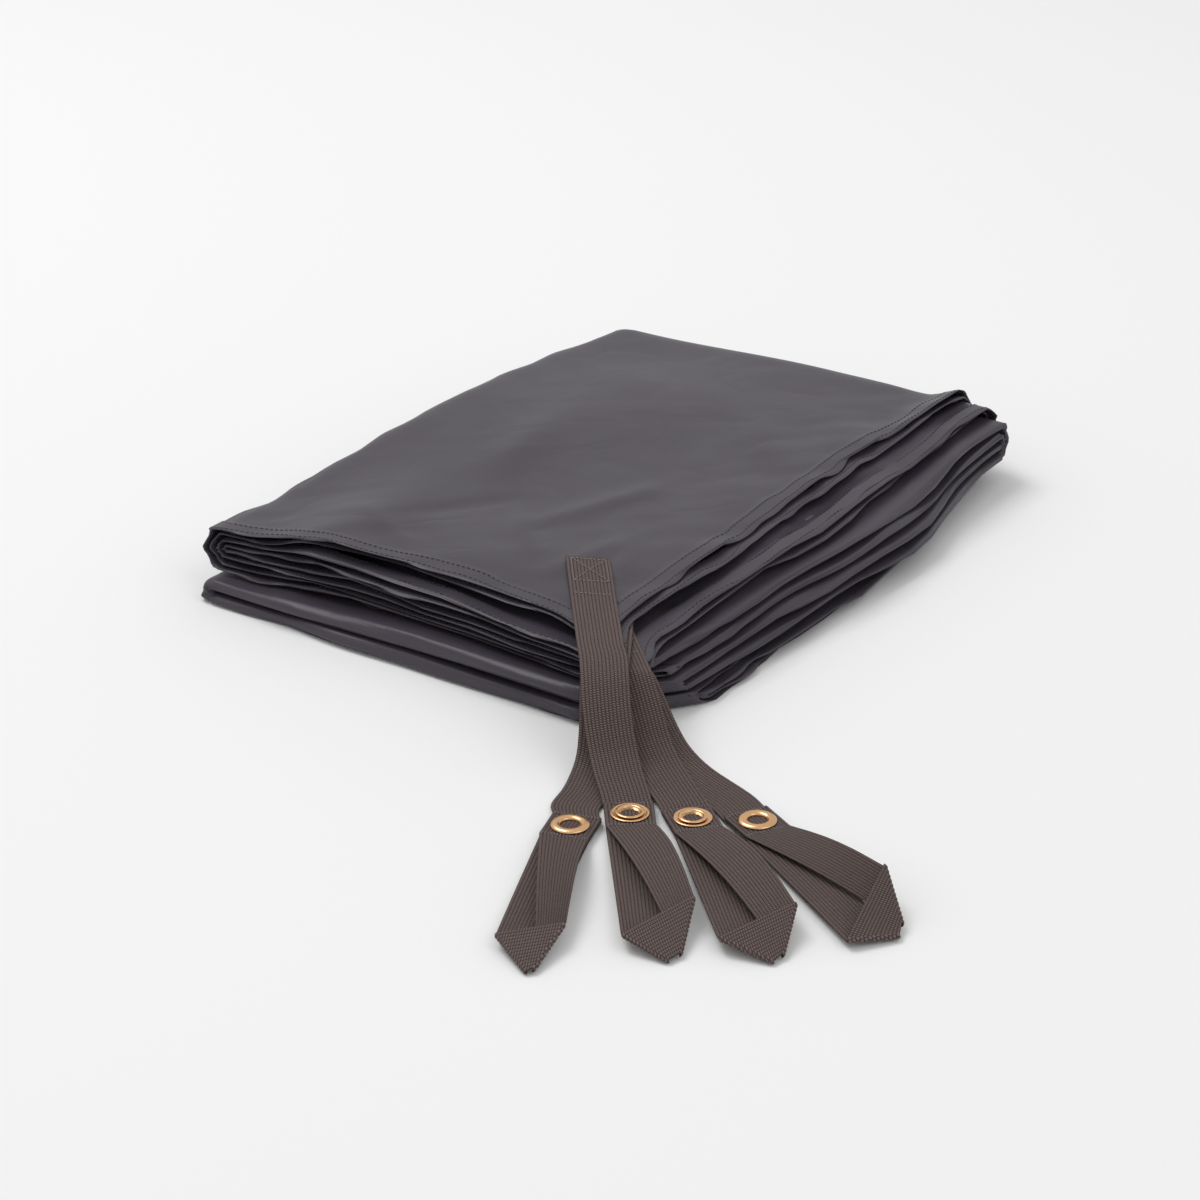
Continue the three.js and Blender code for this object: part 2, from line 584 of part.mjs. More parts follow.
// Eyelet profile, from the hole out over the domed flange, under it, down the
// barrel and round the rolled lip. Heights run from the domed side.
const STACK = 2 * WEBBING_THICKNESS + CLEARANCE;
const FLANGE_TOP = STACK / 2 + CLEARANCE;
const LIP_REACH = 7.4;
const arc = (cx, cy, radiusX, radiusY, from, to, steps) => {
  const points = [];
  for (let i = 0; i <= steps; i += 1) {
    const angle = THREE.MathUtils.degToRad(mix(from, to, i / steps));
    points.push(new THREE.Vector2(cx + radiusX * Math.cos(angle), cy + radiusY * Math.sin(angle)));
  }
  return points;
};
function eyeletGeometry({ eyelet, domeUp }) {
  const washerUnder = -FLANGE_TOP - BRASS_THICKNESS - CLEARANCE;
  const flangeMiddle = (BARREL_RADIUS + FLANGE_RADIUS) / 2;
  const flangeHalf = FLANGE_RADIUS - flangeMiddle;
  const profile = [
    new THREE.Vector2(HOLE_RADIUS, washerUnder),
    new THREE.Vector2(HOLE_RADIUS, FLANGE_TOP),
    ...arc(flangeMiddle, FLANGE_TOP + 0.3, FLANGE_RADIUS - flangeMiddle, 0.9, 150, 0, 6),
    new THREE.Vector2(flangeMiddle + flangeHalf, FLANGE_TOP),
    new THREE.Vector2(BARREL_RADIUS, FLANGE_TOP),
    new THREE.Vector2(BARREL_RADIUS, washerUnder),
    new THREE.Vector2(LIP_REACH, washerUnder),
    new THREE.Vector2(LIP_REACH - 0.3, washerUnder - BRASS_THICKNESS),
    new THREE.Vector2(HOLE_RADIUS + 0.5, washerUnder - BRASS_THICKNESS),
    new THREE.Vector2(HOLE_RADIUS, washerUnder),
  ];
  return placeRound(new THREE.LatheGeometry(profile.reverse(), ROUND_STEPS), eyelet, domeUp);
}
function washerGeometry({ eyelet, domeUp }) {
  const inner = BARREL_RADIUS + CLEARANCE;
  const washerTop = -FLANGE_TOP;
  const profile = [
    new THREE.Vector2(inner, washerTop - BRASS_THICKNESS),
    new THREE.Vector2(inner, washerTop),
    new THREE.Vector2(FLANGE_RADIUS, washerTop),
    new THREE.Vector2(FLANGE_RADIUS - 0.2, washerTop - BRASS_THICKNESS),
    new THREE.Vector2(inner, washerTop - BRASS_THICKNESS),
  ];
  return placeRound(new THREE.LatheGeometry(profile.reverse(), ROUND_STEPS), eyelet, domeUp);
}
function placeRound(geometry, eyelet, domeUp) {
  geometry.rotateX(domeUp ? Math.PI / 2 : -Math.PI / 2);
  geometry.translate(eyelet.x, eyelet.y, (LOWER_WEBBING + UPPER_WEBBING) / 2);
  return geometry;
}

const cloth = new THREE.MeshStandardMaterial({ color: 0x5a565e, roughness: 0.55, metalness: 0 });
const webbing = new THREE.MeshStandardMaterial({ color: 0x4a4342, roughness: 0.85, metalness: 0 });
const brass = new THREE.MeshStandardMaterial({ color: 0xe0a868, roughness: 0.3, metalness: 1 });

const group = new THREE.Group();
const addPart = (name, geometry, material) => {
  const mesh = new THREE.Mesh(geometry, material);
  mesh.name = name;
  group.add(mesh);
};
addPart("groundsheet", groundsheetGeometry(), cloth);
for (const strap of STRAPS) {
  addPart(`strap_${strap.name}`, strapGeometry(strap), webbing);
  addPart(`eyelet_${strap.name}`, eyeletGeometry(strap), brass);
  addPart(`washer_${strap.name}`, washerGeometry(strap), brass);
}

export default group;
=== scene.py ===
"""Folded tent groundsheet with four webbing straps and brass eyelets, dressed around its solids."""
import math

import bpy
import numpy as np
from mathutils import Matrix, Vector


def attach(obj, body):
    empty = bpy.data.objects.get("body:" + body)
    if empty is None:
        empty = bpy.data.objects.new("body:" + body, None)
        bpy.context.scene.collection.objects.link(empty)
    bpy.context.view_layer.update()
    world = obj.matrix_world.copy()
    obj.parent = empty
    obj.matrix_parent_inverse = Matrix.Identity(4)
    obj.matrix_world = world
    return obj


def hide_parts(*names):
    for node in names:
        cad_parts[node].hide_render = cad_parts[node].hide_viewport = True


bl_info = {
    "name": "Folded Groundsheet",
    "version": (1, 0, 0),
    "blender": (4, 5, 0),
    "location": "View3D > Sidebar > Groundsheet",
    "description": "Builds a folded nylon groundsheet, its webbing straps, eyelets and stitching",
    "category": "Object",
}

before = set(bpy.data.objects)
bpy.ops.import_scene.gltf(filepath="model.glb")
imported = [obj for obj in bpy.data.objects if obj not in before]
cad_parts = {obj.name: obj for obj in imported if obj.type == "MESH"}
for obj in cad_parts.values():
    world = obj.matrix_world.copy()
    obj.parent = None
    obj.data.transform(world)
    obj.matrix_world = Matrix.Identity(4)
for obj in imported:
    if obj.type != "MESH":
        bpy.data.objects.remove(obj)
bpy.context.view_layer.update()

# Sizes of the pack, in millimetres, as its solids have them
PITCH = 3.0
LAYERS = 16
PACK_LENGTH, PACK_WIDTH = 414.0, 280.0
OVERHANG = 6.0
TOP_LAYER = (LAYERS - 1) * PITCH + 0.7
NEAR_CORNER = np.array([-9.2, -253.5])
LONG_SIDE = math.radians(54)
COS, SIN = math.cos(LONG_SIDE), math.sin(LONG_SIDE)
HEM_WIDTH = 12.0
SOLID_HEM_HALF = 0.85
CLEARANCE = 0.3

# Half thicknesses of the cloth and of its hem, as they look
CLOTH_HALF, HEM_HALF = 0.18, 0.5
EDGE_ROUND, EDGE_SHARE = 0.6, 0.3


def turning_radius(layers):
    """Mean radius of a crease: a quarter of the height of the layers that it turns."""
    return layers * PITCH / 4


# Place of the first two creases in the open sheet, past two runs, a bend and the overhang
LONG_CREASE = 2 * PACK_LENGTH + math.pi * turning_radius(16) + OVERHANG
WIDE_CREASE = 2 * PACK_WIDTH + math.pi * turning_radius(8) + OVERHANG

# Each fold: axis, depth of the centre under the top layer, radius, place of the crease
FOLD_4 = (0, 7.5 * PITCH, turning_radius(16), PACK_LENGTH)
FOLD_3 = (1, 3.5 * PITCH, turning_radius(8), PACK_WIDTH)
FOLD_2 = (0, 1.5 * PITCH, turning_radius(4), LONG_CREASE)
FOLD_1 = (1, 0.5 * PITCH, turning_radius(2), WIDE_CREASE)
FOLDS = (FOLD_1, FOLD_2, FOLD_3, FOLD_4)
SHEET_LENGTH = 2 * LONG_CREASE + math.pi * FOLD_2[2]
SHEET_WIDTH = 2 * WIDE_CREASE + math.pi * FOLD_1[2]

# Where each hem lies after folding: inset into the pack at each stop, and the bow after it
HEM_RUNS = {
    "near_length": ((8, 2), (27, 0), (-6, 3), (8, 0), (-4, 0)),
    "far_length": ((5, 3), (23, 0), (-8, 0), (4, 2), (-6, 0)),
    "near_width": ((6, 9), (0, 5), (-3, 3), (2, 12), (3, 0)),
    "far_width": ((-5, 2), (3, 4), (-4, 3), (2, 6), (-7, 0)),
}


def hem_stops(pack, half_bend, middle, total):
    """Stops along a hem: its ends, the middles of the outer bends, and the middle of the sheet."""
    return np.array([0, pack + half_bend, middle, total - pack - half_bend, total])


LENGTH_STOPS = hem_stops(PACK_LENGTH, 19, LONG_CREASE + 5, SHEET_LENGTH)
WIDTH_STOPS = hem_stops(PACK_WIDTH, 9, WIDE_CREASE + 2, SHEET_WIDTH)
HEM_FADE = 150
CORNER_PULL, CORNER_REACH = 13, 24

# Gaps between layers at the open sides: level, corner, side, wave, turns, phase
GAPS = (
    (2, 4.6, 2.8, 1.8, 2.5, 0.4),
    (3, 0.5, 1.0, 0.9, 3.0, 2.1),
    (4, 2.2, 0.8, 0.8, 2.0, 4.0),
    (6, 0.6, 1.4, 1.0, 3.5, 1.2),
    (8, 0.3, 0.6, 0.6, 2.5, 5.2),
    (10, 0.2, 0.9, 0.7, 3.0, 3.3),
)


def smooth(start, stop, value):
    """Smoothstep: 0 up to start, 1 past stop, 3k^2 - 2k^3 between."""
    k = np.clip((value - start) / (stop - start), 0, 1)
    return k * k * (3 - 2 * k)


def fold_under(points, fold):
    """Turns what lies past a crease under the rest: half a turn round the fold's centre, then
    straight back, with its height mirrored in that centre."""
    axis, depth, bend, at = fold
    run = points[axis] - at
    height = points[2] + depth
    arc = math.pi * bend
    angle = np.clip(run / bend, 0, math.pi)
    bent = at + height * np.sin(angle) - np.maximum(run - arc, 0)
    points[axis] = np.where(run > 0, bent, points[axis])
    points[2] = np.where(run > 0, height * np.cos(angle) - depth, points[2])


def hem_inset(rows, stops, along):
    """Offset of a hem along its run: smoothstep between the stops' insets, plus a bow that is a
    squared sine over the stretch."""
    rows = np.array(rows, float)
    k = np.clip(np.searchsorted(stops, along, side="left") - 1, 0, len(stops) - 2)
    part = np.clip((along - stops[k]) / (stops[k + 1] - stops[k]), 0, 1)
    blend = smooth(0, 1, part)
    inset = rows[k, 0] * (1 - blend) + rows[k + 1, 0] * blend
    return inset + rows[k, 1] * np.sin(math.pi * part) ** 2


def place_hems(s, t):
    """Moves the hems within the flat sheet by their insets, fading out away from each edge, with
    the corners drawn in by a Gaussian."""
    near_s, far_s = 1 - smooth(0, HEM_FADE, s), 1 - smooth(0, HEM_FADE, SHEET_LENGTH - s)
    near_t, far_t = 1 - smooth(0, HEM_FADE, t), 1 - smooth(0, HEM_FADE, SHEET_WIDTH - t)
    pull_t = CORNER_PULL * np.exp(-((np.minimum(s, SHEET_LENGTH - s) / CORNER_REACH) ** 2))
    pull_s = CORNER_PULL * np.exp(-((np.minimum(t, SHEET_WIDTH - t) / CORNER_REACH) ** 2))
    ds = near_s * (hem_inset(HEM_RUNS["near_width"], WIDTH_STOPS, t) - pull_s)
    ds = ds - far_s * (hem_inset(HEM_RUNS["far_width"], WIDTH_STOPS, t) - pull_s)
    dt = near_t * (hem_inset(HEM_RUNS["near_length"], LENGTH_STOPS, s) - pull_t)
    dt = dt - far_t * (hem_inset(HEM_RUNS["far_length"], LENGTH_STOPS, s) - pull_t)
    return s + ds, t + dt


def sines(u, v, rows):
    """Sum of plane waves: amplitude times the sine of u and v over their lengths plus a phase."""
    total = np.zeros(np.broadcast(u, v).shape)
    for amplitude, length_u, length_v, phase in rows:
        total = total + amplitude * np.sin(2 * math.pi * (u / length_u + v / length_v) + phase)
    return total


def triangle(phase):
    """Triangle wave from 0 to 1 with a period of 2."""
    return np.abs((phase % 2) - 1)


def edge_distance(s, t):
    """Distance of a point of the flat sheet from the nearest of its edges."""
    return np.minimum(np.minimum(s, SHEET_LENGTH - s), np.minimum(t, SHEET_WIDTH - t))


# Soft ridges on the top: start x and y, end x and y, half width, height before RIDGE_SCALE
RIDGE_SCALE = 1.7
RIDGES = (
    (150, 190, 245, 215, 16, 1.6),
    (95, 120, 190, 95, 9, 1.5),
    (70, 190, 130, 150, 8, -1.0),
    (60, 95, 110, 140, 7, 1.2),
    (40, 70, 120, 60, 6, 0.9),
    (250, 60, 330, 120, 14, 1.1),
    (30, 150, 60, 220, 7, 0.9),
    (45, 30, 90, 50, 5, 0.9),
)


def ridge_height(x, y):
    """Each ridge is a Gaussian across its line, times a rounded rise and fall along it."""
    total = np.zeros(np.broadcast(x, y).shape)
    for x0, y0, x1, y1, width, height in RIDGES:
        dx, dy = x1 - x0, y1 - y0
        length = math.hypot(dx, dy)
        along = ((x - x0) * dx + (y - y0) * dy) / length ** 2
        across = ((y - y0) * dx - (x - x0) * dy) / length
        rise = smooth(-0.25, 0.4, along) * (1 - smooth(0.6, 1.25, along))
        total = total + RIDGE_SCALE * height * rise * np.exp(-((across / width) ** 2))
    return total


# Parts of the pack that stand higher or lower: share of the height, x run, y run
RISES = ((0.17, 300, 400, 50, 22), (-0.11, 230, 400, 130, 270), (-0.12, 200, 40, 200, 290))

# Bunching of the layers at the open sides: height, spacing, swing, turns along the side, phase
BUNCHES = ((0.75, 8.6, 2.2, 9, 0.5), (1.2, 16, 2.5, 5.3, 2))
GAP_RAMP = 1.3

# The left end: where it fades out along the pack and starts across it, how far it is pressed
LEFT_END_X, LEFT_END_Y = (120, 360), (70, 220)
LOWER_HALF_PRESS = 7

# The top: rise of its middle, height of its waves, and the waves' lengths along x and y and phase
CROWN_RISE, CREST_RISE = 1.2, 1.3
CREST_WAVES = ((61, 97, 0.6), (-140, 53, 0.4))
CROWN_X, CROWN_Y = (0, 60), (0, 50)
RIDGE_MARGIN = (-6, 26)
CORNER_SINK = 0.1

# The open sides: how far in they reach, where the strap corner fades out, the closed sides' runs
OPEN_REACH = (0, 150)
CORNER_RUN = (60, 170)
BACK_X, BACK_Y = (PACK_LENGTH - 90, PACK_LENGTH - 10), (PACK_WIDTH - 80, PACK_WIDTH - 10)

# How far the lowest layer stands out at each open side, and the power by which that fades upward
SPREAD_Y = {"near": 30, "more": 6, "more_run": (100, 220), "end_run": (230, 430), "fade": 0.7}
SPREAD_X = {"near": 5, "fade": 0.8}

# Ripples of the open sides: depth, length along the side and length upward, each over 2 pi
RIPPLES_Y = ((1.6, 34, 7), (1.2, 19, -5))
RIPPLES_X = ((1.4, 31, -6), (1.0, 17, 8))

# Unevenness from layer to layer: depth, rate and phase upward, length along the side, shift upward
UNEVEN_X = (1.5, 1.9, 0.7, 23, 1.3)
UNEVEN_Y = (1.7, 1.7, 2.1, 27, -1.1)
SLANT_SHARE, SLANT_FROM = 1.6, 4

# The back crease: pushed in at the left, further for lower layers, and out again to the right
ASKEW = {"in": 10, "lower": 4, "turn": 15, "turn_run": (0, 340), "y_run": (110, PACK_WIDTH),
         "end_run": (350, PACK_LENGTH)}

# Outline of the closed long side: power of the superellipse, reach of the two halves of the stack
SQUARE_POWER, LEAST_ROUND = 4, 0.04
LOWER_REACH, UPPER_REACH, REACH_BLEND = -0.1, 0.1, 1.5

# Facets of that side: share, length along x, length upward, phase; their mean, depth and run-in
FACETS = ((1, 31, 17, 0), (0.7, 23, -13, 0.4))
FACET_MEAN, FACET_DEPTH, FACET_RUN = 0.8, 4.5, (0, 12)


def loose_height(x, y, z, open_side, corner, away):
    """Height of a layer: gaps open between layers at the open sides, the upper layers are opened
    and the lower ones pressed at the left end, and the top lies in soft waves and ridges."""
    along = x / PACK_LENGTH - y / PACK_WIDTH
    height = z.copy()
    for level, at_corner, side, wave, turns, phase in GAPS:
        middle = TOP_LAYER - (level - 0.5) * PITCH
        above = np.clip((z - middle + GAP_RAMP / 2) / GAP_RAMP, 0, 1)
        swell = side + wave * np.sin(2 * math.pi * turns * along + phase)
        gap = open_side * swell * 0.5
        height = height + above * (gap + (at_corner - gap) * corner)
    level = np.clip(z / TOP_LAYER, 0, 1)
    free = open_side * (1 - corner)
    bunch = sum(size * np.sin(2 * math.pi * z / spacing + swing * np.sin(along * turns + phase))
                for size, spacing, swing, turns, phase in BUNCHES)
    height = height + free * bunch * np.sin(math.pi * level)
    pressed = smooth(*LEFT_END_Y, y) * (1 - smooth(*LEFT_END_X, x))
    height = height - LOWER_HALF_PRESS * pressed * (1 - np.abs(2 * level - 1))
    crest = math.prod(np.sin(x / long + y / wide + phase) for long, wide, phase in CREST_WAVES)
    inner = smooth(*CROWN_X, x) * smooth(*CROWN_Y, y) * away
    height = height + level ** 2 * inner * (CROWN_RISE + CREST_RISE * crest)
    ridges = level ** 3 * ridge_height(x, y)
    height = height + ridges * smooth(*RIDGE_MARGIN, x) * smooth(*RIDGE_MARGIN, y)
    for share, from_x, to_x, from_y, to_y in RISES:
        height = height * (1 + share * smooth(from_x, to_x, x) * smooth(from_y, to_y, y))
    return np.maximum(0, height * (1 - CORNER_SINK * corner))


def ripples(rows, along, z):
    """Sum of sines that run along an open side and shift with the height."""
    return sum(depth * np.sin(along / length + z / rise) for depth, length, rise in rows)


def uneven(side, row, along, z):
    """What a layer stands out by itself: one sine of its height times one along the side."""
    depth, rate, phase, length, shift = row
    return side * depth * np.sin(rate * z + phase) * np.sin(along / length + shift * z)


def loosen(x, y, z):
    """Looseness of the pack: lower layers stand out at the two open sides, in ripples that differ
    from layer to layer, and are cut back slantwise at the strap corner. The back crease runs a
    little askew."""
    side_x, side_y = 1 - smooth(*OPEN_REACH, x), 1 - smooth(*OPEN_REACH, y)
    corner = (1 - smooth(*CORNER_RUN, x)) * (1 - smooth(*CORNER_RUN, y))
    away = (1 - smooth(*BACK_X, x)) * (1 - smooth(*BACK_Y, y))
    open_side = np.maximum(side_x, side_y) * away
    low = 1 - np.clip(z / TOP_LAYER, 0, 1)
    spread = SPREAD_Y["near"] + SPREAD_Y["more"] * smooth(*SPREAD_Y["more_run"], x)
    reach_y = spread * (1 - smooth(*SPREAD_Y["end_run"], x)) * low ** SPREAD_Y["fade"]
    reach_x = SPREAD_X["near"] * low ** SPREAD_X["fade"]
    free = away * (1 - corner)
    out_x = x + side_x * (ripples(RIPPLES_X, y, z) * free - reach_x)
    out_x = out_x + uneven(side_x, UNEVEN_X, y, z)
    out_y = y + side_y * (ripples(RIPPLES_Y, x, z) * free - reach_y)
    out_y = out_y + uneven(side_y, UNEVEN_Y, x, z)
    slant = SLANT_SHARE * np.maximum(0, SLANT_FROM - out_y) * side_x
    lower = ASKEW["lower"] * low
    back = ASKEW["in"] + lower - (ASKEW["turn"] + lower) * smooth(*ASKEW["turn_run"], x)
    back = back * smooth(*ASKEW["y_run"], y) * (1 - smooth(*ASKEW["end_run"], x))
    return (out_x + slant * np.sqrt(low), out_y + square_off(x, y, z) - back,
            loose_height(x, y, z, open_side, corner, away))


def square_off(x, y, z):
    """Fills out the rounded back of each half of the stack: the reach past the crease is scaled
    from a circle's to a superellipse's, further for the upper half, and creased into facets by
    triangle waves."""
    past = np.maximum(y - PACK_WIDTH, 0)
    half = TOP_LAYER / 2
    radius = half / 2
    offset = np.abs(np.where(z > half, z - half, z) - radius) / radius
    around = np.sqrt(np.maximum(LEAST_ROUND, 1 - offset ** 2))
    squarer = np.maximum(0, 1 - np.clip(offset, 0, 1) ** SQUARE_POWER) ** (1 / SQUARE_POWER)
    upper = smooth(half - REACH_BLEND, half + REACH_BLEND, z)
    reach = LOWER_REACH + (UPPER_REACH - LOWER_REACH) * upper
    facets = sum(share * triangle(x / length + z / rise + phase)
                 for share, length, rise, phase in FACETS)
    out = past * (np.clip(squarer / around - 1, 0, 1) + reach * (1 - smooth(*LEFT_END_X, x)))
    return out + FACET_DEPTH * (facets - FACET_MEAN) * smooth(*FACET_RUN, past)


def to_frame(x, y, z):
    """Pack coordinates turned by the long side's angle and moved to the near corner."""
    return np.stack([NEAR_CORNER[0] + COS * x - SIN * y, NEAR_CORNER[1] + SIN * x + COS * y, z],
                    axis=-1)


# Flutter of the open sides: amplitude, length along s and t, phase. Crumples: lengths along s and t
FLUTTER_REACH = (0, 130)
FLUTTER = ((0.4, 97, 131, 0.3), (0.3, 61, -83, 1.9), (0.2, 37, 43, 4.0))
CRUMPLE_DEPTH = 0.3
CRUMPLES = ((29, 41), (37, -23))


def cloth_points(s, t, lift):
    """Points of the sheet, lift above its middle surface, carried through the four folds. Near its
    edges the cloth flutters in sines and is crumpled in triangle waves."""
    u, v = place_hems(s, t)
    loose = 1 - smooth(*FLUTTER_REACH, edge_distance(s, t))
    crumple = sum(triangle(s / length_s + t / length_t) for length_s, length_t in CRUMPLES)
    flutter = loose * sines(s, t, FLUTTER) + CRUMPLE_DEPTH * loose * (crumple - 1)
    points = [u + 0 * lift, v + 0 * lift, lift + flutter]
    for fold in FOLDS:
        fold_under(points, fold)
    points[2] = points[2] + TOP_LAYER
    return to_frame(*loosen(*points))


def to_mesh(name, points, faces, uvs=None, smooth_faces=True):
    """A mesh object from points in millimetres, with one UV pair for each point."""
    mesh = bpy.data.meshes.new(name)
    mesh.from_pydata((np.asarray(points, float) / 1000).tolist(), [], np.asarray(faces).tolist())
    if uvs is not None:
        layer = mesh.uv_layers.new(name="UVMap")
        corners = np.zeros(len(mesh.loops), np.int32)
        mesh.loops.foreach_get("vertex_index", corners)
        layer.data.foreach_set("uv", np.asarray(uvs, np.float32)[corners].ravel())
    mesh.polygons.foreach_set("use_smooth", np.full(len(mesh.polygons), smooth_faces))
    mesh.update()
    thing = bpy.data.objects.new(name, mesh)
    bpy.context.scene.collection.objects.link(thing)
    return thing


def grid_faces(rows, columns, wrap=False):
    """Quads of a grid of points, row by row; wrap joins the last column to the first."""
    i = np.arange(rows - 1)[:, None]
    j = np.arange(columns if wrap else columns - 1)[None, :]
    k = (j + 1) % columns
    row, after = i * columns, (i + 1) * columns
    return np.stack([row + j, after + j, after + k, row + k], -1).reshape(-1, 4)


# Stations of the grid: in the hem, where the top layer's even ones start, the length of a fine end,
# how much wider apart hidden fine ones are, the coarse distance, and the parts of the bends
HEM_STATIONS = (0, 0.6, 3, 6, 9, 11.3, 12.1)
TOP_START, FINE_END = 15, 70
HIDDEN_FINE, COARSE = 1.3, 24
BEND_PARTS, CROWN_PARTS = 14, 7


def run_stations(length, fine):
    """Stations over one flat run: fine near both ends and coarse in the middle."""
    ends = np.arange(0, FINE_END, fine)
    middle = np.linspace(FINE_END, length - FINE_END, max(2, int((length - 2 * FINE_END) / COARSE)))
    return np.concatenate([ends, middle, (length - ends)[::-1]])


def sheet_stations(last, first, total, step):
    """Stations over the whole sheet in one direction: the hem's steps, an even first run that
    becomes the top layer, bends in equal angles, and the rest mirrored about the middle."""
    hem = np.array(HEM_STATIONS)
    top = np.linspace(TOP_START, last[3], int((last[3] - TOP_START) / step))
    arc = math.pi * last[2]
    bend = last[3] + arc * np.arange(1, BEND_PARTS) / BEND_PARTS
    back = last[3] + arc + run_stations(first[3] - last[3] - arc, step * HIDDEN_FINE)
    crown = first[3] + math.pi * first[2] * np.arange(1, CROWN_PARTS) / CROWN_PARTS
    far_run = hem[-1] + run_stations(last[3] - hem[-1], step * HIDDEN_FINE)[1:]
    far_top = (total - np.concatenate([hem, far_run]))[::-1]
    return np.concatenate([hem, top, bend, back, crown, total - back[::-1], total - bend[::-1],
                           far_top])


def build_groundsheet(step):
    """The folded cloth as one closed shell: two grids of the same stations, a little apart, and
    a flat-shaded rim."""
    s_line = sheet_stations(FOLD_4, FOLD_2, SHEET_LENGTH, step)
    t_line = sheet_stations(FOLD_3, FOLD_1, SHEET_WIDTH, step)
    s, t = np.meshgrid(s_line, t_line, indexing="ij")
    half = hem_half(edge_distance(s, t))
    upper = cloth_points(s, t, half).reshape(-1, 3)
    lower = cloth_points(s, t, -half).reshape(-1, 3)
    rows, columns = s.shape
    count = rows * columns
    faces = grid_faces(rows, columns)
    under = faces[:, ::-1] + count
    index = np.arange(count).reshape(rows, columns)
    rim = np.concatenate([index[:-1, 0], index[-1, :-1], index[:0:-1, -1], index[0, :0:-1]])
    after = np.roll(rim, -1)
    wall = np.stack([after, rim, rim + count, after + count], -1)
    uvs = np.stack([s.ravel(), t.ravel()], -1) / 1000
    shell = np.concatenate([faces, under, wall])
    return to_mesh("groundsheet_cloth", np.concatenate([upper, lower]), shell,
                   np.concatenate([uvs, uvs]), np.arange(len(shell)) < 2 * len(faces))


def hem_half(edge):
    """Half thickness of the cloth at a distance from its edge: rounded off at the edge, full in
    the hem and thin past it."""
    hem = 1 - smooth(HEM_WIDTH - EDGE_ROUND, HEM_WIDTH, edge)
    rounding = EDGE_SHARE + (1 - EDGE_SHARE) * smooth(0, EDGE_ROUND, edge)
    return (CLOTH_HALF + (HEM_HALF - CLOTH_HALF) * hem) * rounding


# Straps

WEB_WIDTH, WEB_THICK = 25.0, 1.5

# Heights of the two webs at the eyelet; places along them, measured from it towards the loop's tip
LOWER_WEB, UPPER_WEB = 2.55, 4.35
ROW_TO_EYELET, TAIL_PAST_ROW, LEVEL_FROM = 10.8, 1.2, -10
LOWER_ARCH = 0.3
RIBS, RIB_DEPTH = 13, 0.2
FOLD_INSET = 1.15
UP = np.array([0, 0, 1.0])

# Sections in each stretch of a strap
TAB_STEPS, FALL_STEPS, EYE_STEPS, LEG_STEPS, FOLD_STEPS, TIP_STEPS = 14, 4, 10, 30, 9, 12

# Eyelet: x, y, turn. Tab: gap's level, share of the gap, start x and y, turn, end x and y.
# Fall: x, y, z and turn of each section. Tip: inner left, left, right and inner right corner.
STRAPS = {
    "1": {
        "eyelet": (-25.8, -380.5, -17), "dome_up": True, "arch": 8,
        "tab": (2, 0.78, -5, -212, 1, -8.6, -287),
        "fall": ((-9.2, -296, 38.5, 0), (-9.4, -304, 30, -1), (-9.6, -311, 20, -2),
                 (-11.4, -321, 9.5, -5), (-17, -339, 3.2, -12), (-23.6, -355, 1.3, -16)),
        "tip": ((-59.6, -486.5, 5), (-45, -513, 1), (-41, -512, 1.5), (-27, -484, 9)),
    },
    "2": {
        "eyelet": (3.6, -368.6, 3), "dome_up": False, "arch": 6.5,
        "tab": (0, 0, -18, -162, -9, -11, -268),
        "fall": ((-9.5, -282, 49.5, 1), (-8.8, -295, 45.5, 1), (-8, -305.5, 36, 1),
                 (-6.5, -314.5, 25, 1), (-4.2, -323.5, 15, 2), (-1.6, -335, 8.8, 3),
                 (1.2, -347, 5.2, 3)),
        "tip": ((-1.4, -490.5, 7), (19.8, -503.5, 1), (26, -498.5, 1.5), (33, -464.5, 12)),
    },
    "3": {
        "eyelet": (34.6, -373.4, 15), "dome_up": False, "arch": 6,
        "tab": (2, 0.26, -9, -216, 6, 3.4, -285),
        "fall": ((6.8, -293.5, 32.4, 7), (9.8, -301, 23.5, 10), (13, -309, 14.5, 12),
                 (18, -321, 7.6, 13), (25.4, -340, 3.9, 15), (30.2, -355, 3.4, 15)),
        "tip": ((43, -493.5, 7), (67.6, -504.5, 1), (72.6, -499.5, 1.5), (80, -472, 13)),
    },
    "4": {
        "eyelet": (66.4, -376, 27), "dome_up": True, "arch": 2.5,
        "tab": (4, 0.5, -21, -214, 24, 6, -276),
        "fall": ((11.5, -286, 25.5, 26), (17.6, -296, 14.5, 26), (24.4, -306, 6.5, 27),
                 (35, -321, 2.2, 27), (53.6, -347.5, 1.6, 27)),
        "tip": ((102.4, -490.5, 4), (127.4, -482.5, 1.5), (129.6, -474, 3), (123, -447.5, 19.5)),
    },
}


def across(x, y, z, turn):
    """Left and right edge points of a section of webbing, its width turned by an angle."""
    angle = math.radians(turn)
    reach = np.array([math.cos(angle), math.sin(angle), 0]) * WEB_WIDTH / 2
    centre = np.array([x, y, z], float)
    return np.array([centre - reach, centre + reach])


def on_layer(point, stack_height):
    """Height in the frame of a height in the stack, at a place given in the frame."""
    dx, dy = point[:2] - NEAR_CORNER
    x, y = np.array([COS * dx + SIN * dy]), np.array([COS * dy - SIN * dx])
    return float(loosen(x, y, np.array([float(stack_height)]))[2][0])


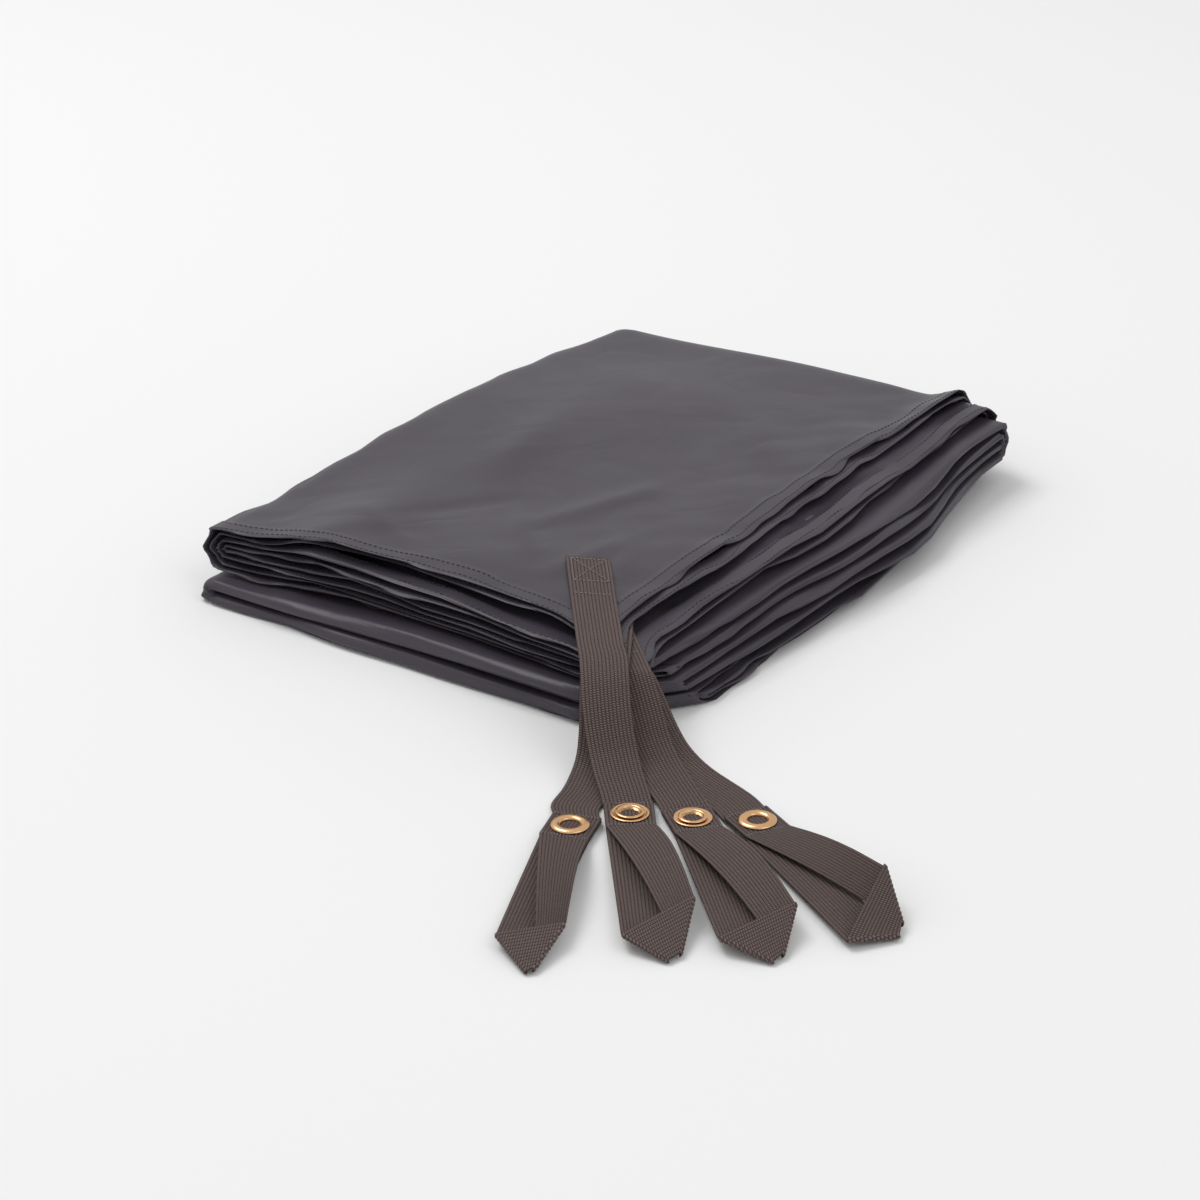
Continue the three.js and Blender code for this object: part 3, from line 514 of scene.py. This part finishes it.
def tab_sections(tab):
    """Sections of the sewn tab, carried at a share of the gap that it lies in."""
    level, share, x0, y0, turn, x1, y1 = tab
    top = TOP_LAYER - (level - 1) * PITCH - SOLID_HEM_HALF
    bottom = TOP_LAYER - level * PITCH + SOLID_HEM_HALF
    on_top = TOP_LAYER + SOLID_HEM_HALF + CLEARANCE / 2 + WEB_THICK / 2
    height = bottom + (top - bottom) * share if level else on_top
    sections = []
    for k in np.linspace(0, 1, TAB_STEPS):
        section = across(x0 + (x1 - x0) * k, y0 + (y1 - y0) * k, 0, turn)
        section[:, 2] = [on_layer(edge, height) for edge in section]
        sections.append(section)
    return sections


def through(sections):
    """Catmull-Rom curve through a list of sections, both edges alike."""
    p = np.array(sections)
    p = np.concatenate([2 * p[:1] - p[1:2], p, 2 * p[-1:] - p[-2:-1]])
    k = (np.arange(FALL_STEPS) / FALL_STEPS)[:, None, None]
    spans = []
    for i in range(1, len(p) - 2):
        a, b, c, d = p[i - 1:i + 3]
        spans.append(0.5 * (2 * b + (c - a) * k + (2 * a - 5 * b + 4 * c - d) * k ** 2
                            + (3 * b - a - 3 * c + d) * k ** 3))
    return np.concatenate(spans + [p[-2:-1]])


def leg(start, end, arch):
    """A leg of the loop, ruled between two edges, that rises in a low sine arch."""
    k = (np.arange(1, LEG_STEPS) / LEG_STEPS)[:, None, None]
    points = np.array(start) * (1 - k) + np.array(end) * k
    points[:, :, 2] += arch * np.sin(math.pi * k[:, :, 0])
    return points


def turned(line, middle):
    """The webbing turned over along a slanting line: half a circle away from the tip's middle, set
    in a little so that its outside lies on the line."""
    along = line[1] - line[0]
    out = np.array([along[1], -along[0], 0]) / np.hypot(along[0], along[1])
    if out @ (line.mean(0) - middle) < 0:
        out = -out
    radius = (WEB_THICK + CLEARANCE) / 2
    angle = np.linspace(0, math.pi, FOLD_STEPS)[:, None]
    shift = radius * (out * (np.sin(angle) - FOLD_INSET) + UP * (1 - np.cos(angle)))
    face = UP * np.cos(angle) - out * np.sin(angle)
    return line[None] + shift[:, None, :], face


def strap_sections(strap):
    """All sections of a strap from its tab round the loop to its cut end, with their faces."""
    x, y, turn = strap["eyelet"]
    down = np.array([math.sin(math.radians(turn)), -math.cos(math.radians(turn))])

    def row(offset, z):
        return across(x + offset * down[0], y + offset * down[1], z, turn)

    def rows(start, end, z):
        return np.array([row(offset, z) for offset in np.linspace(start, end, EYE_STEPS)])

    lower, upper = row(ROW_TO_EYELET, LOWER_WEB), row(ROW_TO_EYELET, UPPER_WEB)
    inner_left, left, right, inner_right = (np.array(p, float) for p in strap["tip"])
    middle = (inner_left + left + right + inner_right) / 4
    first, first_face = turned(np.array([inner_left, left]), middle)
    second, second_face = turned(np.array([inner_right, right]), middle)
    second, second_face = second[::-1], second_face[::-1]
    k = np.linspace(0, 1, TIP_STEPS)[1:-1, None, None]
    crossing = first[-1] * (1 - k) + second[0] * k
    upper_leg = leg(upper, np.array([right, inner_right]), strap["arch"])[::-1, ::-1]
    past_row = -ROW_TO_EYELET - TAIL_PAST_ROW
    fall = [across(*section) for section in strap["fall"]]
    start = through(tab_sections(strap["tab"]) + fall + [row(past_row, LOWER_WEB)])
    parts = [(start, None), (rows(LEVEL_FROM, ROW_TO_EYELET, LOWER_WEB), None),
             (leg(lower, np.array([inner_left, left]), LOWER_ARCH), None), (first, first_face),
             (crossing, np.repeat([-UP], len(crossing), 0)), (second, second_face),
             (upper_leg, None), (rows(ROW_TO_EYELET, past_row, UPPER_WEB)[:, ::-1], None)]
    points = np.concatenate([p for p, _ in parts])
    free = np.full((1, 3), np.nan)
    faces = np.concatenate([np.repeat(free, len(p), 0) if f is None else f for p, f in parts])
    return points, faces


def strap_faces(points, faces):
    """Faces of the sections that have none: the run of the webbing crossed with its width."""
    run = np.gradient(points.mean(1), axis=0)
    normal = np.cross(run, points[:, 1] - points[:, 0])
    normal /= np.linalg.norm(normal, axis=1, keepdims=True)
    normal[normal[:, 2] < 0] *= -1
    return np.where(np.isnan(faces), normal, faces)


def strap_flow(points):
    """Length of the webbing up to each section, along its left and its right edge."""
    return np.cumsum(np.linalg.norm(np.diff(points, axis=0, prepend=points[:1]), axis=2), axis=0)


def build_strap(name, strap):
    """Webbing: a closed profile carried along the sections. Its ribs are a cosine across the width,
    and its selvedge is the root of one less a high power, never under half the thickness."""
    points, faces = strap_sections(strap)
    normal = strap_faces(points, faces)
    u = np.linspace(0, 1, RIBS * 4 + 1)
    rib = -RIB_DEPTH * np.cos(2 * math.pi * RIBS * u)
    body = 0.5 * WEB_THICK - RIB_DEPTH
    edge = np.sqrt(np.clip(1 - ((2 * u - 1) ** 2) ** 16, 0.25, 1))
    height = (body + rib) * edge
    ring_u = np.concatenate([u, u[::-1]])
    ring_h = np.concatenate([height, -height[::-1]])
    spread = points[:, :1] * (1 - ring_u[None, :, None]) + points[:, 1:] * ring_u[None, :, None]
    ring = spread + normal[:, None, :] * ring_h[None, :, None]
    rows, columns = ring.shape[:2]
    flow = strap_flow(points)
    v = flow[:, :1] * (1 - ring_u) + flow[:, 1:] * ring_u
    uvs = np.stack([np.broadcast_to(ring_u * WEB_WIDTH, v.shape), v], -1).reshape(-1, 2) / 1000
    quads = grid_faces(rows, columns, wrap=True)[:, ::-1]
    half = len(u)
    k = np.arange(half - 1)
    cap = np.stack([k, k + 1, columns - 2 - k, columns - 1 - k], -1)
    end = (rows - 1) * columns + cap[:, ::-1]
    thing = to_mesh("webbing_" + name, ring.reshape(-1, 3), np.concatenate([quads, cap, end]), uvs)
    return thing, float(flow[-1].mean()) / 1000


# Brass

# Radii of flange, barrel and hole; half the stack that they clamp; sizes of dome, lip and bead
FLANGE, BARREL, HOLE = 9.8, 5.6, 4.9
STACK_MIDDLE = (LOWER_WEB + UPPER_WEB) / 2
BRASS_SEAT = WEB_THICK + CLEARANCE / 2 + CLEARANCE
WASHER_THICK = 0.6
DOME_REACH, DOME_RISE = 2.3, 1.35
LIP_MIDDLE, LIP_SIZE, BEAD_SIZE = 6.3, (1.1, 0.55), (0.8, 0.42)
TURN_STEPS = 72


def lathe(name, profile, place, dome_up):
    """A closed profile of radius and height turned about the eyelet's axis."""
    profile = np.array(profile, float)
    angle = np.linspace(0, 2 * math.pi, TURN_STEPS, endpoint=False)[:, None]
    radius, height = profile[:, 0][None, :], profile[:, 1][None, :]
    up = 1 if dome_up else -1
    points = np.stack([radius * np.cos(angle) + place[0], radius * np.sin(angle) * up + place[1],
                       STACK_MIDDLE + up * (height + 0 * angle)], -1)
    rows, columns = points.shape[:2]
    faces = grid_faces(rows + 1, columns, wrap=True) % (rows * columns)
    return to_mesh(name, points.reshape(-1, 3), faces[:, ::-1])


def arc_profile(cx, cy, rx, ry, start, stop, count):
    """Points of an elliptic arc, as rows of radius and height."""
    angle = np.radians(np.linspace(start, stop, count))
    return list(zip(cx + rx * np.cos(angle), cy + ry * np.sin(angle)))


def eyelet_profile():
    """From the lip up the barrel, over the domed flange, back under it and round the lip."""
    top, under, peak = BRASS_SEAT, -BRASS_SEAT - WASHER_THICK - CLEARANCE, HOLE + DOME_REACH
    return ([(HOLE + 0.5, under + 1.0), (HOLE, under + 0.2), (HOLE, top - 0.4)]
            + arc_profile(peak, top + 0.05, DOME_REACH, DOME_RISE, 180, 90, 9)
            + arc_profile(peak, top + 0.05, FLANGE - HOLE - DOME_REACH, DOME_RISE, 80, -4, 10)
            + [(FLANGE - 0.5, top - 0.02), (BARREL, top), (BARREL, under), (7.0, under)]
            + arc_profile(LIP_MIDDLE, under - 0.05, *LIP_SIZE, 0, -170, 8))


def washer_profile():
    """A flat ring with a raised outer bead and a step down to the barrel."""
    top, inner = -BRASS_SEAT, BARREL + CLEARANCE
    return ([(inner, top - WASHER_THICK), (inner, top), (FLANGE - 0.1, top)]
            + arc_profile(FLANGE - BEAD_SIZE[0], top - 0.28, *BEAD_SIZE, 15, -120, 7)
            + [(8.2, top - 0.5), (7.4, top - 0.46)])


# Thread

# Distance between stitches and length of one, in hems and in tabs; the threads' radii; the hem
# rows' insets, lift and free ends; the shortest stitch kept, and where its two rings lie along it
HEM_STITCH, TAB_STITCH = (3.6, 2.7), (2.4, 1.9)
HEM_THREAD, TAB_THREAD, ROW_THREAD = 0.28, 0.26, 0.22
HEM_ROWS, HEM_LIFT, HEM_ENDS = (2.0, 10.0), 0.52, (3, 4)
LEAST_STITCH, STITCH_RINGS = 0.2, (0.22, 0.78)

# Seams of a tab: u across (0 to 1) and v along in mm, at the start and at the end
TAB_SEAMS = ((0.12, 3.5, 0.9, 3.5), (0.12, 31, 0.9, 31), (0.12, 3.5, 0.12, 31), (0.9, 3.5, 0.9, 31),
             (0.12, 3.5, 0.9, 31), (0.9, 3.5, 0.12, 31), (0.1, 46, 0.92, 46))

# Rows beside an eyelet: their distances from it, stitches in a row, its width, half a stitch
EYELET_ROWS = (-11.0, -9.9, 10.4, 11.4)
ROW_COUNT, ROW_WIDTH, ROW_HALF = 15, 22, 0.55


def stitches(name, starts, ends, ups, radius):
    """Each stitch is a low spindle of two square rings and two tips between its holes."""
    along = ends - starts
    length = np.linalg.norm(along, axis=1, keepdims=True)
    keep = length[:, 0] > LEAST_STITCH
    starts, along, ups = starts[keep], along[keep], ups[keep]
    side = np.cross(along, ups)
    side /= np.linalg.norm(side, axis=1, keepdims=True)
    ring = np.array([[1, 0], [0, 1], [-1, 0], [0, -1]]) * radius
    sunk = ups * radius * 0.5
    points = [starts - sunk]
    for share in STITCH_RINGS:
        for a, b in ring:
            points.append(starts + along * share + side * a + ups * (b + radius * 0.5))
    points.append(starts + along - sunk)
    points = np.stack(points, 1)
    k = np.arange(4)
    n = (k + 1) % 4
    template = np.concatenate([
        np.stack([0 * k, 1 + k, 1 + n], -1),
        np.stack([1 + k, 5 + k, 5 + n], -1), np.stack([1 + k, 5 + n, 1 + n], -1),
        np.stack([5 + k, 9 + 0 * k, 5 + n], -1)])
    faces = (template[None] + 10 * np.arange(len(points))[:, None, None]).reshape(-1, 3)
    return to_mesh(name, points.reshape(-1, 3), faces)


def hem_stitching():
    """Two rows of stitches along every hem, on both faces of the cloth."""
    pitch, length = HEM_STITCH
    starts, ends, ups = [], [], []
    for along_s in (True, False):
        total, other = (SHEET_LENGTH, SHEET_WIDTH) if along_s else (SHEET_WIDTH, SHEET_LENGTH)
        line = np.arange(HEM_ENDS[0], total - HEM_ENDS[1], pitch)
        for inset in HEM_ROWS:
            for where in (inset, other - inset):
                for lift in (HEM_LIFT, -HEM_LIFT):
                    a, b, c = (hem_point(line + d, where, lift * g, along_s)
                               for d, g in ((0, 1), (length, 1), (length / 2, 2)))
                    up = c - (a + b) / 2
                    starts.append(a)
                    ends.append(b)
                    ups.append(up / np.linalg.norm(up, axis=1, keepdims=True))
    return stitches("hem_stitching", *map(np.concatenate, (starts, ends, ups)), HEM_THREAD)


def hem_point(along, where, lift, along_s):
    """Points of a stitch row: at one distance from the hem, all along it."""
    other = np.full_like(along, where)
    s, t = (along, other) if along_s else (other, along)
    return cloth_points(s, t, np.full_like(along, lift))


def strap_point(points, normal, flow, u, v):
    """Points on a strap's upper face at u across (0 to 1) and v millimetres along."""
    def at(values):
        return np.stack([np.interp(v, flow.mean(1), values[:, i]) for i in range(3)], -1)

    up = at(normal)
    base = at(points[:, 0]) * (1 - u)[:, None] + at(points[:, 1]) * u[:, None]
    return base + up * (WEB_THICK / 2), up


def seam_lines(lines, pitch, length):
    """Splits seam lines, given as rows u0, v0, u1, v1, into stitches' start and end values."""
    a, b = [], []
    for u0, v0, u1, v1 in lines:
        span = math.hypot((u1 - u0) * WEB_WIDTH, v1 - v0)
        count = max(1, int(span / pitch))
        k = np.arange(count) / count
        d = length / span
        for ends, part in ((a, k), (b, k + d)):
            ends.append(np.stack([u0 + (u1 - u0) * part, v0 + (v1 - v0) * part], -1))
    return np.concatenate(a), np.concatenate(b)


def strap_stitching(name, strap):
    """The box with a cross on the tab, and the rows of stitches above and below the eyelet."""
    points, faces = strap_sections(strap)
    normal, flow = strap_faces(points, faces), strap_flow(points)
    a, b = seam_lines(TAB_SEAMS, *TAB_STITCH)
    p, up = strap_point(points, normal, flow, a[:, 0], a[:, 1])
    q, _ = strap_point(points, normal, flow, b[:, 0], b[:, 1])
    tab = stitches("tab_stitching_" + name, p, q, up, TAB_THREAD)
    x, y, turn = strap["eyelet"]
    angle = math.radians(turn)
    axis = np.array([math.sin(angle), -math.cos(angle), 0])
    width = np.array([math.cos(angle), math.sin(angle), 0])
    k = np.arange(ROW_COUNT) / (ROW_COUNT - 1) - 0.5
    starts, ends, ups = [], [], []
    for offset in EYELET_ROWS:
        for face, z in ((1, UPPER_WEB + WEB_THICK / 2), (-1, LOWER_WEB - WEB_THICK / 2)):
            base = np.array([x, y, z]) + axis * offset + width * (k * ROW_WIDTH)[:, None]
            starts.append(base - width * ROW_HALF)
            ends.append(base + width * ROW_HALF)
            ups.append(np.repeat([face * UP], len(k), 0))
    rows = map(np.concatenate, (starts, ends, ups))
    return tab, stitches("eyelet_stitching_" + name, *rows, ROW_THREAD)


# Materials

# Scales of the noises; tones from dark to light; bumps as strength and depth in metres; threads
# in a metre; how far the cloth's roughness swings, and the brass's roughness
MOTTLE, CRINKLE, CREASE, FIBRE, TWIST, WEAR = 9.0, 26.0, 10.0, 900.0, 1500.0, 90.0
CLOTH_TONE, THREAD_TONE, BRASS_TONE = (0.88, 1.12), (0.7, 1.3), (0.9, 1.08)
# WEB_TONE and WEAVE_SHADE_SHARE darken the webbing's colour between its threads as painted shade;
# FIBRE_SHARE is the fibres' own uneven tone
WEB_TONE, WEAVE_SHADE_SHARE, FIBRE_SHARE = (0.05, 1.75), 0.85, 0.35
CREASE_BUMP, CRINKLE_BUMP = (0.4, 0.007), (0.4, 0.0012)
CLOTH_BUMP, WEB_BUMP = (0.12, 0.0001), (1.0, 0.0009)
CLOTH_THREADS, WEB_THREADS = 2200.0, 780.0
CLOTH_SWING, BRASS_ROUGHNESS = (-0.05, 0.06), (0.2, 0.3)


def new_material(name):
    """A new material, its node tree and its shader."""
    material = bpy.data.materials.new(name)
    material.use_nodes = True
    tree = material.node_tree
    shader = next(n for n in tree.nodes if n.type == "BSDF_PRINCIPLED")
    return material, tree, shader


def add_node(tree, kind, **values):
    """Adds a node; values name its attributes, or its inputs with in_ before the name."""
    node = tree.nodes.new(kind)
    for key, value in values.items():
        if key.startswith("in_"):
            node.inputs[key[3:].replace("_", " ")].default_value = value
        else:
            setattr(node, key, value)
    return node


def wire(tree, source, target):
    """Links an output to an input."""
    tree.links.new(source, target)


def noise(tree, place, scale, **values):
    """Noise on the piece's own coordinates."""
    node = add_node(tree, "ShaderNodeTexNoise", in_Scale=scale, **values)
    wire(tree, place.outputs["Object"], node.inputs["Vector"])
    return node.outputs["Fac"]


def ramped(tree, factor, low, high):
    """A value that runs from low to high with the factor."""
    ramp = add_node(tree, "ShaderNodeMapRange", in_To_Min=low, in_To_Max=high)
    wire(tree, factor, ramp.inputs["Value"])
    return ramp.outputs[0]


def bumped(tree, height, strength, distance, under=None):
    """A normal bent by a height, on top of another normal."""
    bump = add_node(tree, "ShaderNodeBump", in_Strength=strength, in_Distance=distance)
    wire(tree, height, bump.inputs["Height"])
    if under is not None:
        wire(tree, under, bump.inputs["Normal"])
    return bump.outputs[0]


def math_node(tree, operation, *values):
    """A math node fed by sockets or numbers."""
    node = add_node(tree, "ShaderNodeMath", operation=operation)
    for socket, value in zip(node.inputs, values):
        if hasattr(value, "is_output"):
            wire(tree, value, socket)
        else:
            socket.default_value = value
    return node.outputs[0]


def weave_group():
    """Woven threads on the piece's UV map, as Height: the product of the square roots of two sets
    of rounded ribs, the second shifted by a share of a thread in every other row."""
    group = bpy.data.node_groups.new("woven_threads", "ShaderNodeTree")
    face = group.interface
    for name, value in (("Across", 500.0), ("Along", 500.0), ("Stagger", 0.5)):
        socket = face.new_socket(name, in_out="INPUT", socket_type="NodeSocketFloat")
        socket.default_value = value
    face.new_socket("Height", in_out="OUTPUT", socket_type="NodeSocketFloat")
    source = group.nodes.new("NodeGroupInput")
    sink = group.nodes.new("NodeGroupOutput")
    uv = add_node(group, "ShaderNodeUVMap", uv_map="UVMap")
    split = add_node(group, "ShaderNodeSeparateXYZ")
    wire(group, uv.outputs[0], split.inputs[0])
    u = math_node(group, "MULTIPLY", split.outputs[0], source.outputs["Across"])
    v = math_node(group, "MULTIPLY", split.outputs[1], source.outputs["Along"])
    odd = math_node(group, "MODULO", math_node(group, "FLOOR", u), 2.0)
    shift = math_node(group, "MULTIPLY", odd, source.outputs["Stagger"])
    threads = []
    for run in (u, math_node(group, "ADD", v, shift)):
        wave = math_node(group, "SINE", math_node(group, "MULTIPLY", run, math.pi))
        threads.append(math_node(group, "SQRT", math_node(group, "ABSOLUTE", wave)))
    wire(group, math_node(group, "MULTIPLY", *threads), sink.inputs["Height"])
    return group


def place_group(tree, group, **values):
    """The group's Height output, with its inputs set by name."""
    node = add_node(tree, "ShaderNodeGroup")
    node.node_tree = group
    for key, value in values.items():
        node.inputs[key].default_value = value
    return node.outputs["Height"]


def tinted(tree, colour, factor, low, high):
    """The colour times a brightness that runs from low to high with the factor."""
    mix = add_node(tree, "ShaderNodeMix", data_type="RGBA", blend_type="MULTIPLY")
    mix.inputs["Factor"].default_value = 1.0
    mix.inputs[6].default_value = (*colour, 1)
    wire(tree, ramped(tree, factor, low, high), mix.inputs[7])
    return mix.outputs[2]


def nylon(sizes, weave):
    """Coated nylon: a dark satin cloth with a fine weave, soft creases and a faint mottling."""
    material, tree, shader = new_material("groundsheet_nylon")
    place = add_node(tree, "ShaderNodeTexCoord")
    mottle = noise(tree, place, MOTTLE, in_Detail=3.0)
    crinkle = noise(tree, place, CRINKLE, in_Detail=4.0, in_Distortion=0.6)
    folds = noise(tree, place, CREASE, in_Detail=2.0, in_Distortion=0.6)
    threads = place_group(tree, weave, Across=CLOTH_THREADS, Along=CLOTH_THREADS, Stagger=1.0)
    wire(tree, tinted(tree, sizes.cloth_colour, mottle, *CLOTH_TONE), shader.inputs["Base Color"])
    low, high = (sizes.cloth_roughness + swing for swing in CLOTH_SWING)
    wire(tree, ramped(tree, crinkle, low, high), shader.inputs["Roughness"])
    ridged = math_node(tree, "ABSOLUTE", math_node(tree, "SUBTRACT", folds, 0.5))
    creased = bumped(tree, ridged, *CREASE_BUMP)
    coarse = bumped(tree, crinkle, *CRINKLE_BUMP, creased)
    wire(tree, bumped(tree, threads, *CLOTH_BUMP, coarse), shader.inputs["Normal"])
    shader.inputs["Specular IOR Level"].default_value = 0.36
    return material


def webbing(sizes, weave):
    """Ribbed webbing: threads across each rib, its colour darkened between them as painted shade,
    with uneven fibres.
    """
    material, tree, shader = new_material("strap_webbing")
    fibre = noise(tree, add_node(tree, "ShaderNodeTexCoord"), FIBRE, in_Detail=2.0)
    ribs = 1000.0 * RIBS / WEB_WIDTH
    threads = place_group(tree, weave, Across=ribs, Along=WEB_THREADS, Stagger=0.5)
    # Painted shade: the weave's height darkens the base colour in the hollows between the threads
    weave_shade = math_node(tree, "MULTIPLY", threads, WEAVE_SHADE_SHARE)
    # The tone is painted shade between the threads plus the real uneven tone of the fibres
    mixed = math_node(tree, "MULTIPLY_ADD", fibre, FIBRE_SHARE, weave_shade)
    wire(tree, tinted(tree, sizes.webbing_colour, mixed, *WEB_TONE), shader.inputs["Base Color"])
    shader.inputs["Roughness"].default_value = 0.72
    wire(tree, bumped(tree, threads, *WEB_BUMP), shader.inputs["Normal"])
    shader.inputs["Specular IOR Level"].default_value = 0.2
    return material


def thread_material(name, colour):
    """Sewing thread: matt, with a fine noise in its tone."""
    material, tree, shader = new_material(name)
    twist = noise(tree, add_node(tree, "ShaderNodeTexCoord"), TWIST)
    wire(tree, tinted(tree, colour, twist, *THREAD_TONE), shader.inputs["Base Color"])
    shader.inputs["Roughness"].default_value = 0.6
    return material


def brass_material(sizes):
    """Polished brass, faintly uneven in tone and gloss."""
    material, tree, shader = new_material("eyelet_brass")
    wear = noise(tree, add_node(tree, "ShaderNodeTexCoord"), WEAR, in_Detail=2.0)
    wire(tree, tinted(tree, sizes.brass_colour, wear, *BRASS_TONE), shader.inputs["Base Color"])
    shader.inputs["Metallic"].default_value = 1.0
    wire(tree, ramped(tree, wear, *BRASS_ROUGHNESS), shader.inputs["Roughness"])
    return material


# Add-on

# Lights: name, place, size in m, power in W, all aimed at the pack
LIGHTS = (("key_light", (-1.6, 1.0, 3.6), 2.0, 61), ("fill_light", (2.4, -2.2, 3.0), 2.5, 15))
LIGHT_AIM = Vector((0.0, -0.1, 0.0))
SKY_STRENGTH = 0.66
FLOOR_COLOUR, FLOOR_ROUGHNESS = (0.9, 0.9, 0.9, 1), 0.9
FLOOR_CORNERS = [(-6000, -4000, 0), (6000, -4000, 0), (6000, 8000, 0), (-6000, 8000, 0)]
CAMERA_PLACE, CAMERA_DOWN = (-0.01118, -1.67657, 0.71735), 24.5
CAMERA_LENS, CAMERA_SENSOR, CAMERA_NEAR = 90, 36, 0.05


def colour_property(name, description, default):
    """A colour that a user would change."""
    return bpy.props.FloatVectorProperty(
        name=name, description=description, subtype="COLOR", size=3, default=default, min=0, max=1)


class GroundsheetSizes(bpy.types.PropertyGroup):
    """Sizes and colours that a user would change."""
    cloth_step: bpy.props.FloatProperty(
        name="Cloth step", description="Distance between grid lines on the top layer, in mm",
        default=5.5, min=3.0, max=20.0)
    cloth_roughness: bpy.props.FloatProperty(
        name="Cloth roughness", description="Gloss of the coated nylon", default=0.38, min=0, max=1,
        subtype="FACTOR")
    cloth_colour: colour_property("Cloth colour", "Colour of the nylon", (0.053, 0.044, 0.058))
    webbing_colour: colour_property(
        "Webbing colour", "Colour of the straps", (0.113, 0.084, 0.077))
    thread_colour: colour_property(
        "Thread colour", "Colour of the thread on the straps", (0.28, 0.25, 0.26))
    hem_thread_colour: colour_property(
        "Hem thread colour", "Colour of the thread in the hems", (0.02, 0.018, 0.021))
    brass_colour: colour_property("Brass colour", "Colour of the eyelets", (0.86, 0.52, 0.27))


def give(thing, material):
    """Gives a piece its material and parents it to the pack's root empty, so that it rides on the
    pack.
    """
    thing.data.materials.append(material)
    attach(thing, "root")


class GROUNDSHEET_OT_cloth(bpy.types.Operator):
    """Builds the folded cloth and the stitching along its hems"""
    bl_idname = "groundsheet.cloth"
    bl_label = "Folded cloth"

    def execute(self, context):
        sizes = context.scene.groundsheet_sizes
        cloth = build_groundsheet(sizes.cloth_step)
        give(cloth, nylon(sizes, weave_group()))
        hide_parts("groundsheet")
        thread = hem_stitching()
        give(thread, thread_material("hem_thread", sizes.hem_thread_colour))
        return {"FINISHED"}


class GROUNDSHEET_OT_straps(bpy.types.Operator):
    """Builds the webbing straps with their loops and stitching"""
    bl_idname = "groundsheet.straps"
    bl_label = "Webbing straps"

    def execute(self, context):
        sizes = context.scene.groundsheet_sizes
        group = bpy.data.node_groups.get("woven_threads") or weave_group()
        material = webbing(sizes, group)
        thread = thread_material("strap_thread", sizes.thread_colour)
        for name, plan in STRAPS.items():
            strap, length = build_strap(name, plan)
            give(strap, material)
            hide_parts("strap_" + name)
            seams = strap_stitching(name, plan)
            for seam in seams:
                give(seam, thread)
        return {"FINISHED"}


class GROUNDSHEET_OT_eyelets(bpy.types.Operator):
    """Builds the brass eyelets and their washers"""
    bl_idname = "groundsheet.eyelets"
    bl_label = "Brass eyelets"

    def execute(self, context):
        material = brass_material(context.scene.groundsheet_sizes)
        for name, plan in STRAPS.items():
            place, dome_up = plan["eyelet"][:2], plan["dome_up"]
            eyelet = lathe("brass_eyelet_" + name, eyelet_profile(), place, dome_up)
            give(eyelet, material)
            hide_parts("eyelet_" + name)
            washer = lathe("brass_washer_" + name, washer_profile(), place, dome_up)
            give(washer, material)
            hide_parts("washer_" + name)
        return {"FINISHED"}


class GROUNDSHEET_OT_stage(bpy.types.Operator):
    """Sets up the pale floor, the soft light and the camera"""
    bl_idname = "groundsheet.stage"
    bl_label = "Stage"

    def execute(self, context):
        scene = context.scene
        scene.view_settings.view_transform = "Standard"
        floor = to_mesh("floor", FLOOR_CORNERS, [(0, 1, 2, 3)], smooth_faces=False)
        material, _, shader = new_material("floor_paper")
        shader.inputs["Base Color"].default_value = FLOOR_COLOUR
        shader.inputs["Roughness"].default_value = FLOOR_ROUGHNESS
        floor.data.materials.append(material)
        world = scene.world or bpy.data.worlds.new("studio")
        scene.world = world
        world.use_nodes = True
        back = next(n for n in world.node_tree.nodes if n.type == "BACKGROUND")
        back.inputs["Color"].default_value = (1.0, 1.0, 1.0, 1)
        back.inputs["Strength"].default_value = SKY_STRENGTH
        for light in LIGHTS:
            add_light(*light)
        camera = bpy.data.cameras.new("photo_camera")
        camera.lens, camera.sensor_width = CAMERA_LENS, CAMERA_SENSOR
        camera.clip_start = CAMERA_NEAR
        view = bpy.data.objects.new("photo_camera", camera)
        view.location = CAMERA_PLACE
        view.rotation_euler = (math.radians(90 - CAMERA_DOWN), 0, 0)
        scene.collection.objects.link(view)
        scene.camera = view
        return {"FINISHED"}


def add_light(name, place, size, power):
    """A square soft light that faces the pack."""
    light = bpy.data.lights.new(name, "AREA")
    light.shape, light.size, light.energy = "SQUARE", size, power
    lamp = bpy.data.objects.new(name, light)
    lamp.location = place
    lamp.rotation_euler = (LIGHT_AIM - Vector(place)).to_track_quat("-Z", "Y").to_euler()
    bpy.context.scene.collection.objects.link(lamp)


class GROUNDSHEET_PT_panel(bpy.types.Panel):
    """Sizes, colours and the builders, in the sidebar"""
    bl_idname = "GROUNDSHEET_PT_panel"
    bl_label = "Folded Groundsheet"
    bl_space_type = "VIEW_3D"
    bl_region_type = "UI"
    bl_category = "Groundsheet"

    def draw(self, context):
        sizes = context.scene.groundsheet_sizes
        for name in sizes.bl_rna.properties.keys():
            if name not in ("rna_type", "name"):
                self.layout.prop(sizes, name)
        for operator in OPERATORS:
            self.layout.operator(operator.bl_idname)


OPERATORS = (GROUNDSHEET_OT_cloth, GROUNDSHEET_OT_straps, GROUNDSHEET_OT_eyelets,
             GROUNDSHEET_OT_stage)
CLASSES = (GroundsheetSizes, *OPERATORS, GROUNDSHEET_PT_panel)


def register():
    """Registers the sizes, the operators and the panel."""
    for item in CLASSES:
        bpy.utils.register_class(item)
    bpy.types.Scene.groundsheet_sizes = bpy.props.PointerProperty(type=GroundsheetSizes)


def unregister():
    """Takes back what register did."""
    del bpy.types.Scene.groundsheet_sizes
    for item in reversed(CLASSES):
        bpy.utils.unregister_class(item)


def main():
    """Runs every operator."""
    register()
    bpy.ops.groundsheet.cloth()
    bpy.ops.groundsheet.straps()
    bpy.ops.groundsheet.eyelets()
    bpy.ops.groundsheet.stage()


if __name__ == "__main__":
    main()
